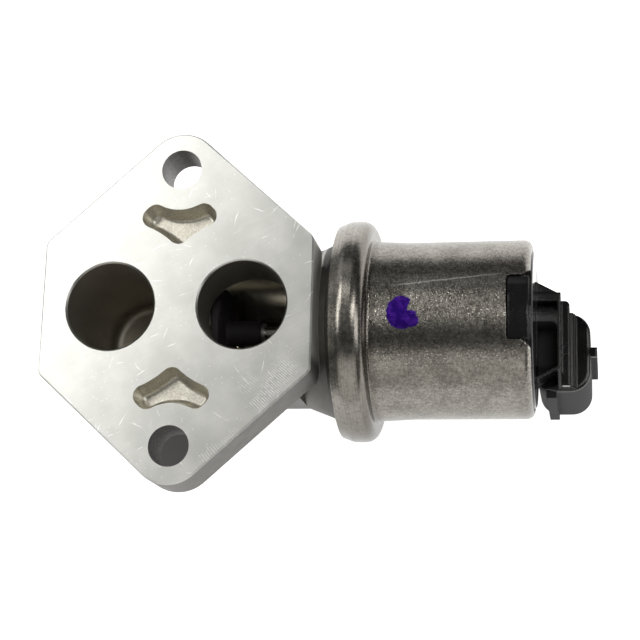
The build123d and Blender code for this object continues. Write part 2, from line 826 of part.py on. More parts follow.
# Return spring between the plunger and the screw
with BuildPart() as return_spring:
    with BuildLine() as coil:
        Helix(
            pitch=spring_length / spring_turns,
            height=spring_length,
            radius=spring_mean_r,
            center=(spring_start, 0, -axis_depth),
            direction=(1, 0, 0),
        )
    with BuildSketch(Plane(origin=coil.line @ 0, z_dir=coil.line % 0)):
        RegularPolygon(spring_wire_r, spring_wire_sides)
    sweep(is_frenet=True)
return_spring.part.label = "return_spring"
export_step(return_spring.part, "parts/return_spring.step")
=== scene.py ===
"""Looks of a flange-mounted idle air valve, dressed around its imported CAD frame."""

from __future__ import annotations

import json
import logging
import math
from abc import ABC, abstractmethod
from dataclasses import dataclass, field
from enum import Enum
from functools import reduce
from typing import Any, Mapping, NamedTuple, Optional, Sequence, Union

import bpy
from mathutils import Matrix, Vector

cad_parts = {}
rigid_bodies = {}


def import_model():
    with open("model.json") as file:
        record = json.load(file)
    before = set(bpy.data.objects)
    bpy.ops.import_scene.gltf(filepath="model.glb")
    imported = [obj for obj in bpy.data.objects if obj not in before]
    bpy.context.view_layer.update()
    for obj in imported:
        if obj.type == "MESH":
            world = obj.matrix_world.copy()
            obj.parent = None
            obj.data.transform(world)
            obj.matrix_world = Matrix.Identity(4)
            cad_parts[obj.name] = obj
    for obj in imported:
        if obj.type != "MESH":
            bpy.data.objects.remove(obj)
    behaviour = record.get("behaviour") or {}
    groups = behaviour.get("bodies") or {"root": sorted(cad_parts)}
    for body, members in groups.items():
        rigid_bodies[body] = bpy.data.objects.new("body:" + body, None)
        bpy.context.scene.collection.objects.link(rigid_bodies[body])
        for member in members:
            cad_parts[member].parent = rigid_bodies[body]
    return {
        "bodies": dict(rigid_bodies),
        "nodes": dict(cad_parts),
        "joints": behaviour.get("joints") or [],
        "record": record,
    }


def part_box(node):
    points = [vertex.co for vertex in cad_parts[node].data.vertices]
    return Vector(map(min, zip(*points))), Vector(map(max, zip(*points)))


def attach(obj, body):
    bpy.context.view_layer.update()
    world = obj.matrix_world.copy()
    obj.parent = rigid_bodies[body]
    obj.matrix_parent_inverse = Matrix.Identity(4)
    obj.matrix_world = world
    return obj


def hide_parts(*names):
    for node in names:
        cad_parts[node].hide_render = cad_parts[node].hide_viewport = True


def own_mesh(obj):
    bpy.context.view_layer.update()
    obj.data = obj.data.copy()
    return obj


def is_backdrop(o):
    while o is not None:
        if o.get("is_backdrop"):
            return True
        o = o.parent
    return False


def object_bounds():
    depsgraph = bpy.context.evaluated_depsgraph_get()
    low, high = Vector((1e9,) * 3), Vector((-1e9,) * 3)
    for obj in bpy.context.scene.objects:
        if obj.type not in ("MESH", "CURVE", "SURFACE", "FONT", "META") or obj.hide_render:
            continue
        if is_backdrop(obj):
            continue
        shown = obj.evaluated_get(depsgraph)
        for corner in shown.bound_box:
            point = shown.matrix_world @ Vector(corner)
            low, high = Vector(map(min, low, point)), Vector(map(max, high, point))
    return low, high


Colour = tuple[float, float, float]
ColourPair = tuple[Colour, Colour]
Triple = tuple[float, float, float]
Span = tuple[float, float]
Scalar = Union["Val", float]
Tint = Union["Vec", Colour]
Sockets = Mapping[Union[int, str], Any]

LOG = logging.getLogger("idle_air_valve")
MM = 0.001
# Depth of the solenoid axis below the mounting face, in millimetres
AXIS_DEPTH = 24.75

ORIGIN: Triple = (0.0, 0.0, 0.0)
SAME_SIZE: Triple = (1.0, 1.0, 1.0)
IN_PLANE: Triple = (1.0, 1.0, 0.0)
ACROSS_AXIS: Triple = (0.0, 1.0, 1.0)
MEAN_NOISE: Triple = (0.5, 0.5, 0.5)
BLACK: Colour = (0.0, 0.0, 0.0)
WHITE: Colour = (1.0, 1.0, 1.0)
EVEN_SPREAD: Span = (0.3, 0.7)
UPPER_SPREAD: Span = (0.35, 0.7)
WHOLE_WAVE: Span = (-1.0, 1.0)
LEFT_TO_RIGHT: Span = (-1.0, 1.0)
UPPER_TO_LOWER: Span = (1.0, -1.0)
# Place that no point of the valve reaches, in millimetres
OFF_THE_VALVE = 1.0e3
# Size of a patch along Z that leaves heights out of its distances
HEIGHT_IGNORED = 1.0e6
# Share of a scratch's width in which it is full
STROKE_CORE = 0.4
BEVEL_SAMPLES = 6


@dataclass(eq=False)
class Link:
    """One output socket of a node tree.

    Attributes:
        bench: The bench whose tree the socket is in.
        socket: The socket itself.
    """

    bench: "Bench"
    socket: bpy.types.NodeSocket


class Val(Link):
    """A value, or a geometry that is handed on. Arithmetic on a value adds Math nodes."""

    def math(self, operation: str, *terms: Scalar) -> "Val":
        """Add one Math node.

        Args:
            operation: Blender's name of the operation.
            terms: Its operands, in order.

        Returns:
            The node's result.
        """
        node = self.bench.add("ShaderNodeMath", {"operation": operation}, dict(enumerate(terms)))
        return Val(self.bench, node.outputs[0])

    def __add__(self, other: Scalar) -> "Val":
        """Sum."""
        return self.math("ADD", self, other)

    __radd__ = __add__

    def __sub__(self, other: Scalar) -> "Val":
        """Difference."""
        return self.math("SUBTRACT", self, other)

    def __rsub__(self, other: Scalar) -> "Val":
        """Difference, taken from a number."""
        return self.math("SUBTRACT", other, self)

    def __mul__(self, other: Scalar) -> "Val":
        """Product."""
        return self.math("MULTIPLY", self, other)

    __rmul__ = __mul__

    def __abs__(self) -> "Val":
        """Size without sign."""
        return self.math("ABSOLUTE", self)

    def least(self, other: Scalar) -> "Val":
        """The smaller of two values."""
        return self.math("MINIMUM", self, other)

    def most(self, other: Scalar) -> "Val":
        """The larger of two values."""
        return self.math("MAXIMUM", self, other)

    def sine(self) -> "Val":
        """Sine of the value in radians."""
        return self.math("SINE", self)

    def angle_from(self, other: Scalar) -> "Val":
        """Angle in radians from the axis of the other value towards this one's."""
        return self.math("ARCTAN2", self, other)

    def blend(self, other: Scalar, share: "Val") -> "Val":
        """Mean of two values, weighted by the share of the other."""
        return self * (1 - share) + other * share

    def ramp(self, low: Scalar, high: Scalar, start: Scalar = 0.0, end: Scalar = 1.0) -> "Val":
        """Smooth step from one level to another.

        Args:
            low: Value at which the step starts.
            high: Value at which it ends; it may lie below low.
            start: Level before the step.
            end: Level after it.

        Returns:
            The stepped value.
        """
        node = self.bench.add(
            "ShaderNodeMapRange",
            {"interpolation_type": "SMOOTHSTEP"},
            {0: self, 1: low, 2: high, 3: start, 4: end},
        )
        return Val(self.bench, node.outputs[0])


class Vec(Link):
    """A vector or colour. Arithmetic on it adds Vector Math nodes."""

    def _math(self, operation: str, other: Union["Vec", Triple]) -> "Vec":
        """Result of one new Vector Math node."""
        node = self.bench.add("ShaderNodeVectorMath", {"operation": operation}, {0: self, 1: other})
        return Vec(self.bench, node.outputs[0])

    def __add__(self, other: Union["Vec", Triple]) -> "Vec":
        """Sum."""
        return self._math("ADD", other)

    def __sub__(self, other: Union["Vec", Triple]) -> "Vec":
        """Difference."""
        return self._math("SUBTRACT", other)

    def __mul__(self, other: Union["Vec", Triple]) -> "Vec":
        """Product, component by component."""
        return self._math("MULTIPLY", other)

    def length(self) -> Val:
        """Length of the vector."""
        node = self.bench.add("ShaderNodeVectorMath", {"operation": "LENGTH"}, {0: self})
        return Val(self.bench, node.outputs["Value"])

    def parts(self) -> tuple[Val, Val, Val]:
        """The three components."""
        node = self.bench.add("ShaderNodeSeparateXYZ", {}, {0: self})
        return tuple(Val(self.bench, socket) for socket in node.outputs)


def strongest(values: Sequence[Val]) -> Val:
    """The largest of several values."""
    return reduce(Val.most, values)


def scaled(colour: Colour, factor: float) -> Colour:
    """A colour times a factor, at most white."""
    return tuple(min(1.0, factor * part) for part in colour)


def put_in_scene(name: str, data: bpy.types.ID) -> bpy.types.Object:
    """Make an object and link it to the scene.

    Args:
        name: Name of the object.
        data: Its mesh, light or camera.

    Returns:
        The object.
    """
    item = bpy.data.objects.new(name, data)
    bpy.context.scene.collection.objects.link(item)
    return item


class Strokes(NamedTuple):
    """Scattered short straight scratches, all along one direction.

    Attributes:
        turn: Direction, in degrees from X.
        length: Spacing along the scratches, in millimetres.
        width: Spacing across them.
        reach: Half length of a scratch, as a share of the spacing.
    """

    turn: float
    length: float
    width: float
    reach: float


class Bench:
    """Adds nodes to one node tree."""

    def __init__(self, tree: bpy.types.NodeTree) -> None:
        """Start on an emptied tree.

        Args:
            tree: The node tree to fill.
        """
        self.tree = tree
        tree.nodes.clear()

    def add(
        self,
        kind: str,
        settings: Optional[Mapping[str, Any]] = None,
        sockets: Optional[Sockets] = None,
    ) -> bpy.types.Node:
        """Add a node, with its settings first and its sockets after them.

        Args:
            kind: Blender's type name of the node.
            settings: Properties of the node.
            sockets: Values or links of its inputs, by index or name.

        Returns:
            The new node.
        """
        node = self.tree.nodes.new(kind)
        for name, value in (settings or {}).items():
            setattr(node, name, value)
        for key, value in (sockets or {}).items():
            target = node.inputs[key]
            if isinstance(value, Link):
                self.tree.links.new(value.socket, target)
            elif target.type == "RGBA" and len(value) == 3:
                target.default_value = (*value, 1.0)
            else:
                target.default_value = value
        return node

    def millimetres(self) -> Vec:
        """Object coordinates in millimetres."""
        place = self.add("ShaderNodeTexCoord")
        return Vec(self, place.outputs["Object"]) * (1 / MM, 1 / MM, 1 / MM)

    def join(self, x: Scalar, y: Scalar, z: Scalar) -> Vec:
        """Vector of three values."""
        return Vec(self, self.add("ShaderNodeCombineXYZ", {}, {0: x, 1: y, 2: z}).outputs[0])

    def place(self, where: Vec, centre: Triple, turn: float, size: Triple = SAME_SIZE) -> Vec:
        """Coordinates of a patch that is moved, turned about Z and stretched.

        Args:
            where: Coordinates to start from.
            centre: Middle of the patch.
            turn: Turn about Z, in degrees.
            size: Length that counts as one, along each axis of the patch.

        Returns:
            The patch's own coordinates.
        """
        node = self.add(
            "ShaderNodeMapping",
            {"vector_type": "TEXTURE"},
            {0: where, "Location": centre, "Rotation": (0.0, 0.0, math.radians(turn)), "Scale": size},
        )
        return Vec(self, node.outputs[0])

    def noise(self, where: Vec, scale: float = 1.0, detail: float = 2.0, rough: float = 0.5) -> Val:
        """Soft noise from 0 to 1.

        Args:
            where: Coordinates, in millimetres.
            scale: Features per millimetre.
            detail: Octaves of finer noise.
            rough: Weight of the finer octaves.

        Returns:
            The noise.
        """
        node = self.add(
            "ShaderNodeTexNoise",
            {},
            {"Vector": where, "Scale": scale, "Detail": detail, "Roughness": rough},
        )
        return Val(self, node.outputs[0])

    def drawn_noise(self, where: Vec, size: Triple, detail: float = 2.0, turn: float = 0.0) -> Val:
        """Soft noise that is drawn out along an axis.

        Args:
            where: Coordinates, in millimetres.
            size: Size of the features along each axis, in millimetres.
            detail: Octaves of finer noise.
            turn: Turn of the axes about Z, in degrees.

        Returns:
            The noise.
        """
        return self.noise(self.place(where, ORIGIN, turn, size), detail=detail)

    def wander(self, where: Vec, scale: float, amount: float) -> Vec:
        """Coordinates that sway, so that straight marks laid on them come out bent.

        Args:
            where: Coordinates, in millimetres.
            scale: Bends per millimetre.
            amount: How far they sway, in millimetres.

        Returns:
            The swaying coordinates.
        """
        node = self.add("ShaderNodeTexNoise", {}, {"Vector": where, "Scale": scale, "Detail": 1.0})
        return where + (Vec(self, node.outputs[1]) - MEAN_NOISE) * (amount, amount, amount)

    def cells(self, where: Vec, scale: float = 1.0) -> Val:
        """Distance, seen along Z, to the nearest of many scattered points.

        Args:
            where: Coordinates, in millimetres.
            scale: Points per millimetre.

        Returns:
            The distance, as a share of the points' spacing.
        """
        sockets = {"Vector": where, "Scale": scale}
        node = self.add("ShaderNodeTexVoronoi", {"voronoi_dimensions": "2D"}, sockets)
        return Val(self, node.outputs["Distance"])

    def strokes(self, where: Vec, kind: Strokes) -> Val:
        """Lay scattered scratches.

        Args:
            where: Coordinates, in millimetres.
            kind: Direction, spacing and length of the scratches.

        Returns:
            1 on a scratch and 0 off it.
        """
        shift = (kind.turn, 2.0 * kind.turn, 0.0)
        along = self.place(where, shift, kind.turn, (kind.length, kind.width, 1.0))
        return self.cells(along).ramp(kind.reach, kind.reach * STROKE_CORE)

    def mix(self, share: Scalar, first: Tint, second: Tint) -> Vec:
        """Blend of two colours.

        Args:
            share: Share of the second colour.
            first: Colour at 0.
            second: Colour at 1.

        Returns:
            The blended colour.
        """
        node = self.add(
            "ShaderNodeMix",
            {"data_type": "RGBA", "clamp_factor": True},
            {0: share, 6: first, 7: second},
        )
        return Vec(self, node.outputs[2])


class Grower(Bench):
    """Bench on a Geometry Nodes tree that grows one piece from named inputs."""

    def __init__(self, name: str, sizes: Sequence[str], counts: Sequence[str] = ()) -> None:
        """Start a tree. A material input named Finish comes after the other inputs.

        Args:
            name: Name of the tree.
            sizes: Names of the inputs that are sizes.
            counts: Names of the inputs that are whole numbers.
        """
        tree = bpy.data.node_groups.new(name, "GeometryNodeTree")
        inputs = {title: "NodeSocketFloat" for title in sizes}
        inputs.update({title: "NodeSocketInt" for title in counts})
        inputs["Finish"] = "NodeSocketMaterial"
        for title, kind in inputs.items():
            tree.interface.new_socket(title, in_out="INPUT", socket_type=kind)
        tree.interface.new_socket("Geometry", in_out="OUTPUT", socket_type="NodeSocketGeometry")
        super().__init__(tree)
        given = self.add("NodeGroupInput")
        self.take = {socket.name: Val(self, socket) for socket in given.outputs if socket.name}

    def step(self, kind: str, settings: Mapping[str, Any], sockets: Sockets) -> Val:
        """First output of a new node."""
        return Val(self, self.add(kind, settings, sockets).outputs[0])

    def circle(self, sides: int, radius: Scalar) -> Val:
        """Closed round curve."""
        return self.step("GeometryNodeCurvePrimitiveCircle", {}, {"Resolution": sides, "Radius": radius})

    def end(self, geometry: Val) -> None:
        """Make a geometry real, smooth and paint it, and give it as the tree's result.

        Args:
            geometry: What the tree has made.
        """
        real = self.step("GeometryNodeRealizeInstances", {}, {0: geometry})
        smooth = self.step("GeometryNodeSetShadeSmooth", {}, {0: real})
        painted = self.step("GeometryNodeSetMaterial", {}, {0: smooth, "Material": self.take["Finish"]})
        self.add("NodeGroupOutput", {}, {0: painted})

    def grow(self, name: str, values: Mapping[str, Any]) -> bpy.types.Object:
        """Run the tree once and keep its mesh as a piece.

        Args:
            name: Name of the piece.
            values: Value of each input, by name.

        Returns:
            The piece, in the scene.
        """
        holder = put_in_scene("holder", bpy.data.meshes.new("holder"))
        modifier = holder.modifiers.new(self.tree.name, "NODES")
        modifier.node_group = self.tree
        for item in self.tree.interface.items_tree:
            if item.in_out == "INPUT":
                modifier[item.identifier] = values[item.name]
        ready = holder.evaluated_get(bpy.context.evaluated_depsgraph_get())
        mesh = bpy.data.meshes.new_from_object(ready)
        bpy.data.objects.remove(holder)
        return put_in_scene(name, mesh)


@dataclass
class Surface:
    """What a finish gives to the shader.

    Attributes:
        colour: Base colour.
        roughness: Roughness.
        metallic: Share of metal.
        height: Relief, in millimetres.
        bump: How strongly the relief shows.
        edge: Radius that sharp edges look rounded by, in millimetres.
        specular: Strength of the gloss of what isn't metal.
        glow: Colour of light that the surface gives off.
        glow_strength: Strength of that light.
    """

    colour: Tint
    roughness: Scalar
    metallic: float = 0.0
    height: Optional[Val] = None
    bump: float = 0.5
    edge: float = 0.0
    specular: float = 0.5
    glow: Optional[Vec] = None
    glow_strength: float = 0.0


@dataclass(frozen=True)
class Finish(ABC):
    """A finish that can be given to a piece."""

    name: str

    @abstractmethod
    def surface(self, bench: Bench) -> Surface:
        """Add the finish's own nodes.

        Args:
            bench: Bench on the material's tree.

        Returns:
            The sockets and values for the shader.
        """

    def material(self) -> bpy.types.Material:
        """Make the material at first use.

        Returns:
            The finish as a material.
        """
        made = bpy.data.materials.get(self.name)
        if made is not None:
            return made
        made = bpy.data.materials.new(self.name)
        made.use_nodes = True
        bench = Bench(made.node_tree)
        look = self.surface(bench)
        sockets: dict[Union[int, str], Any] = {
            "Base Color": look.colour,
            "Roughness": look.roughness,
            "Metallic": look.metallic,
            "Specular IOR Level": look.specular,
            "Emission Strength": look.glow_strength,
        }
        if look.glow is not None:
            sockets["Emission Color"] = look.glow
        normal: Optional[Vec] = None
        if look.edge > 0:
            bevel = bench.add("ShaderNodeBevel", {"samples": BEVEL_SAMPLES}, {"Radius": look.edge * MM})
            normal = Vec(bench, bevel.outputs[0])
        if look.height is not None:
            relief: dict[Union[int, str], Any] = {
                "Strength": look.bump,
                "Distance": MM,
                "Height": look.height,
            }
            if normal is not None:
                relief["Normal"] = normal
            normal = Vec(bench, bench.add("ShaderNodeBump", {}, relief).outputs[0])
        if normal is not None:
            sockets["Normal"] = normal
        shader = bench.add("ShaderNodeBsdfPrincipled", {}, sockets)
        output = bench.add("ShaderNodeOutputMaterial")
        made.node_tree.links.new(shader.outputs[0], output.inputs[0])
        return made


class JawPatch(NamedTuple):
    """A patch of parallel strokes on the mounting face, in millimetres.

    Attributes:
        centre: Middle of the patch.
        turn: Direction in which stroke follows stroke, in degrees from X.
        half: Half length of the patch in that direction.
        reach: Half length of a stroke.
        pitch: Distance from stroke to stroke.
        strength: How clearly the strokes show, up to 1.
    """

    centre: Triple
    turn: float
    half: float
    reach: float
    pitch: float
    strength: float


class CastZones(NamedTuple):
    """Masks of the casting's surface, by how each part of it was made.

    Attributes:
        bolts: Walls of the bolt holes.
        chamber: Wall of the valve chamber.
        bored: All bored walls.
        pocket: The two cast relief pockets.
        face: The milled mounting face and its chamfer.
    """

    bolts: Val
    chamber: Val
    bored: Val
    pocket: Val
    face: Val


@dataclass(frozen=True)
class CastAluminium(Finish):
    """Die-cast aluminium with a milled, scratched mounting face and bored ports.

    Lengths are in millimetres, and a span gives where a mask starts and where it is full.
    """

    port_offset: float = 13.7
    port_r: float = 9.15
    bolt_y: float = 29.0
    bolt_hole_r: float = 4.2
    chamber_r: float = 13.7
    chamber_start: Span = (3.2, 3.3)
    bore_skin: Span = (0.12, 0.05)
    pocket_side: Span = (13.0, 12.6)
    pocket_near: Span = (9.5, 10.0)
    pocket_far: Span = (24.2, 23.8)
    pocket_floor: Span = (-5.4, -5.0)
    face_top: Span = (-0.06, -0.015)
    chamfer_foot: Span = (-0.41, -0.37)
    chamfer_top: Span = (-0.02, -0.08)
    # Where the upper-left chamfer gets painted shade
    upper_left: Span = (14.0, 30.0)
    # Where the lower side of the casting and the collar get painted shade
    lower_side: Span = (-5.0, -12.0)
    lower_right: Span = (24.0, 29.0)
    upper_side: Span = (6.0, 10.0)
    collar_start: Span = (28.2, 28.5)
    # Where the flange's right wall gets painted light
    right_wall: Span = (27.4, 27.8)
    right_wall_foot: Span = (-12.0, -9.0)
    mill_size: Triple = (14.0, 0.22, 14.0)
    mill_turn: float = 24.0
    bore_pitch: float = 0.34
    bow_shift: Triple = (40.0, 9.0, 0.0)
    long_strokes: Sequence[Strokes] = (
        Strokes(66.0, 90.0, 4.2, 0.03),
        Strokes(-34.0, 80.0, 5.0, 0.026),
    )
    short_strokes: Sequence[Strokes] = (
        Strokes(84.0, 58.0, 3.2, 0.028),
        Strokes(28.0, 66.0, 3.0, 0.028),
        Strokes(-52.0, 50.0, 3.4, 0.028),
        Strokes(8.0, 40.0, 3.0, 0.028),
    )
    jaw_patches: Sequence[JawPatch] = (
        JawPatch((22.3, -15.0, 0.0), 49.0, 4.4, 3.0, 0.43, 1.0),
        JawPatch((19.0, -19.3, 0.0), 47.0, 3.4, 2.0, 0.47, 0.9),
        JawPatch((15.6, -16.6, 0.0), 52.0, 2.4, 1.7, 0.52, 0.5),
        JawPatch((12.6, -27.3, 0.0), 44.0, 2.6, 1.0, 0.50, 0.6),
        JawPatch((8.6, -30.4, 0.0), 40.0, 2.8, 1.3, 0.55, 0.6),
    )
    milled: ColourPair = ((0.58, 0.585, 0.565), (0.69, 0.69, 0.67))
    mill_line: Colour = (0.46, 0.465, 0.455)
    scar: Colour = (1.0, 1.0, 0.99)
    # Painted shade on the upper-left chamfer
    shaded_chamfer: Colour = (0.20, 0.20, 0.19)
    cast: ColourPair = ((0.22, 0.215, 0.204), (0.27, 0.265, 0.252))
    cast_grain: Colour = (0.42, 0.41, 0.39)
    # Painted shade on the lower side of the casting and on the collar
    painted_shade_tone: Colour = (0.050, 0.048, 0.045)
    # Painted light on the flange's right wall
    painted_light_wall: Colour = (0.62, 0.61, 0.58)
    pocket_skin: ColourPair = ((0.54, 0.52, 0.455), (0.75, 0.72, 0.64))
    bore: ColourPair = ((0.52, 0.49, 0.43), (0.42, 0.40, 0.345))
    # Painted shade in the right-hand port
    shaded_right_bore: Colour = (0.30, 0.285, 0.25)
    bolt_wall: ColourPair = ((0.19, 0.185, 0.18), (0.27, 0.265, 0.26))
    # Painted shade in the lower bolt hole
    shaded_lower_bolt_wall: Colour = (0.035, 0.033, 0.031)
    chamber_wall: Colour = (0.90, 0.875, 0.80)

    def bore_mask(self, away: Val, radius: float) -> Val:
        """1 within a bore and on its wall."""
        return away.ramp(*(radius + skin for skin in self.bore_skin))

    def hole_pair(self, where: Vec, middle: Triple, radius: float) -> Val:
        """1 inside two round holes that lie opposite each other.

        Args:
            where: Coordinates in millimetres.
            middle: Middle of one hole; the other is across the origin.
            radius: Radius of the holes.

        Returns:
            The mask.
        """
        across = tuple(-c for c in middle)
        away = [((where - spot) * IN_PLANE).length() for spot in (middle, across)]
        return self.bore_mask(away[0].least(away[1]), radius)

    def zones(self, where: Vec) -> CastZones:
        """Sort the surface by how it was made.

        Args:
            where: Coordinates in millimetres.

        Returns:
            The masks.
        """
        x, y, z = where.parts()
        ports = self.hole_pair(where, (self.port_offset, 0.0, 0.0), self.port_r)
        bolts = self.hole_pair(where, (0.0, self.bolt_y, 0.0), self.bolt_hole_r)
        off_axis = ((where + (0.0, 0.0, AXIS_DEPTH)) * ACROSS_AXIS).length()
        chamber = self.bore_mask(off_axis, self.chamber_r) * x.ramp(*self.chamber_start)
        bored = strongest([ports, bolts, chamber])
        pocket = abs(x).ramp(*self.pocket_side) * abs(y).ramp(*self.pocket_near)
        pocket = pocket * abs(y).ramp(*self.pocket_far) * z.ramp(*self.pocket_floor)
        chamfer = z.ramp(*self.chamfer_foot) * (1 - bored) * (1 - pocket)
        face = z.ramp(*self.face_top).most(chamfer)
        return CastZones(bolts, chamber, bored, pocket * (1 - face) * (1 - bored), face)

    def jaw_marks(self, bench: Bench, where: Vec) -> Val:
        """Patches of parallel strokes left near the edge of the flange.

        Args:
            bench: Bench on the material's tree.
            where: Coordinates in millimetres.

        Returns:
            1 on a stroke.
        """
        ragged = bench.noise(where, scale=0.9) - 0.5
        broken = bench.noise(where, scale=1.5).ramp(0.28, 0.56)
        marks = []
        for patch in self.jaw_patches:
            along, across, _ = bench.place(where, patch.centre, patch.turn).parts()
            wave = (along * (math.tau / patch.pitch) + ragged * 2.8).sine().ramp(0.1, 0.9) * broken
            ends = (abs(across) + ragged * 3.4).ramp(patch.reach * 1.15, patch.reach * 0.35)
            sides = (abs(along) + ragged * 1.5).ramp(patch.half * 1.1, patch.half * 0.6)
            marks.append(wave * ends * sides * patch.strength)
        return strongest(marks)

    def scars(self, bench: Bench, where: Vec) -> Val:
        """Scratches, dents and jaw marks of the mounting face.

        Args:
            bench: Bench on the material's tree.
            where: Coordinates in millimetres.

        Returns:
            1 on a mark.
        """
        x, y, _ = where.parts()
        bent = bench.wander(where, scale=0.06, amount=9.0)
        bowed = bench.wander(where + self.bow_shift, scale=0.10, amount=6.0)
        long_marks = strongest([bench.strokes(bent, kind) for kind in self.long_strokes])
        short_marks = [bench.strokes(bowed, kind) for kind in self.short_strokes]
        dented = bench.noise(where, scale=0.17, detail=1.0).ramp(0.46, 0.58)
        dents = bench.cells(where, scale=0.50).ramp(0.10, 0.04) * dented
        marks = strongest([long_marks * 0.8, *short_marks, dents * 0.45])
        marks = marks * bench.noise(where, scale=0.5, detail=1.0).ramp(0.26, 0.50)
        worn = bench.noise(where, scale=0.10, detail=1.0) + x * 0.006 - y * 0.003
        marks = marks * worn.ramp(0.26, 0.52, start=0.2)
        return marks.most(self.jaw_marks(bench, where))

    def cast_colour(self, bench: Bench, where: Vec, grain: Val, skin: Val) -> Vec:
        """Cast skin, with painted shade on the lower side and on the collar, and painted light on the
        right wall of the flange.

        Args:
            bench: Bench on the material's tree.
            where: Coordinates in millimetres.
            grain: Fine noise.
            skin: Coarse noise.

        Returns:
            The colour.
        """
        x, y, _ = where.parts()
        colour = bench.mix(skin.ramp(*EVEN_SPREAD), *self.cast)
        colour = bench.mix(grain.ramp(0.56, 0.75) * 0.2, colour, self.cast_grain)
        collar = x.ramp(*self.collar_start)
        # Painted shade on the lower side of the casting and on the collar
        lower = y.ramp(*self.lower_side) * (0.42 + x.ramp(*self.lower_right) * 0.2)
        painted_shade = lower.most(collar * y.ramp(*self.upper_side) * 0.65)
        colour = bench.mix(painted_shade, colour, self.painted_shade_tone)
        # Painted light on the flange's right wall
        painted_light = x.ramp(*self.right_wall) * (1 - collar) * y.ramp(*self.right_wall_foot)
        return bench.mix(painted_light * 0.8, colour, self.painted_light_wall)

    def surface(self, bench: Bench) -> Surface:
        """Cast skin everywhere, cut metal on the mounting face and in the bores.

        Args:
            bench: Bench on the material's tree.

        Returns:
            The sockets and values for the shader.
        """
        where = bench.millimetres()
        x, y, z = where.parts()
        zones = self.zones(where)
        cloud = bench.noise(where, scale=0.11, detail=3.0, rough=0.55)
        fine = bench.noise(where, scale=1.3, detail=3.0, rough=0.6)
        grain = bench.noise(where, scale=2.4, detail=3.0, rough=0.6)
        skin = bench.noise(where, scale=0.35, detail=3.0, rough=0.6)
        mill = bench.drawn_noise(where, self.mill_size, turn=self.mill_turn)
        rings = (z * (math.tau / self.bore_pitch) + fine * 3.0).sine()
        scars = self.scars(bench, where)
        left_to_right = x.ramp(*LEFT_TO_RIGHT)
        lower_hole = y.ramp(*UPPER_TO_LOWER)

        face = bench.mix(cloud.ramp(0.3, 0.72), *self.milled)
        face = bench.mix(mill.ramp(0.35, 0.75) * 0.15, face, self.mill_line)
        face = bench.mix(scars, face, self.scar)
        # Painted shade on the upper-left chamfer only
        edge = z.ramp(*self.chamfer_top) * (y - x).ramp(*self.upper_left)
        face = bench.mix(edge * 0.7, face, self.shaded_chamfer)

        pocket = bench.mix(grain.ramp(*UPPER_SPREAD), *self.pocket_skin)
        cast = bench.mix(zones.pocket, self.cast_colour(bench, where, grain, skin), pocket)

        cut = bench.mix(rings.ramp(*WHOLE_WAVE) * 0.3, *self.bore)
        # Painted shade in the right-hand port
        cut = bench.mix(left_to_right * 0.8, cut, self.shaded_right_bore)
        bolt = bench.mix(fine.ramp(*UPPER_SPREAD), *self.bolt_wall)
        # Painted shade in the lower bolt hole
        bolt = bench.mix(lower_hole * 0.2, bolt, self.shaded_lower_bolt_wall)
        cut = bench.mix(zones.chamber, bench.mix(zones.bolts, cut, bolt), self.chamber_wall)

        rough_cast = 0.52 + grain * 0.12 - zones.pocket * 0.19
        rough_face = 0.27 + cloud * 0.08 + fine * 0.02
        rough_cut = 0.46 + fine * 0.08 - zones.chamber * 0.34 + zones.bolts * lower_hole * 0.4
        rough_rest = rough_cast.blend(rough_cut, zones.bored)
        relief_cast = grain * 0.022 + skin * (0.03 + zones.pocket * 0.12)
        relief_rest = relief_cast.blend(rings * 0.0008, zones.bored)
        relief_face = mill * 0.004 - scars * 0.006
        return Surface(
            colour=bench.mix(zones.face, bench.mix(zones.bored, cast, cut), face),
            roughness=rough_rest.blend(rough_face, zones.face),
            metallic=1.0,
            height=relief_rest.blend(relief_face, zones.face),
            bump=0.6,
        )


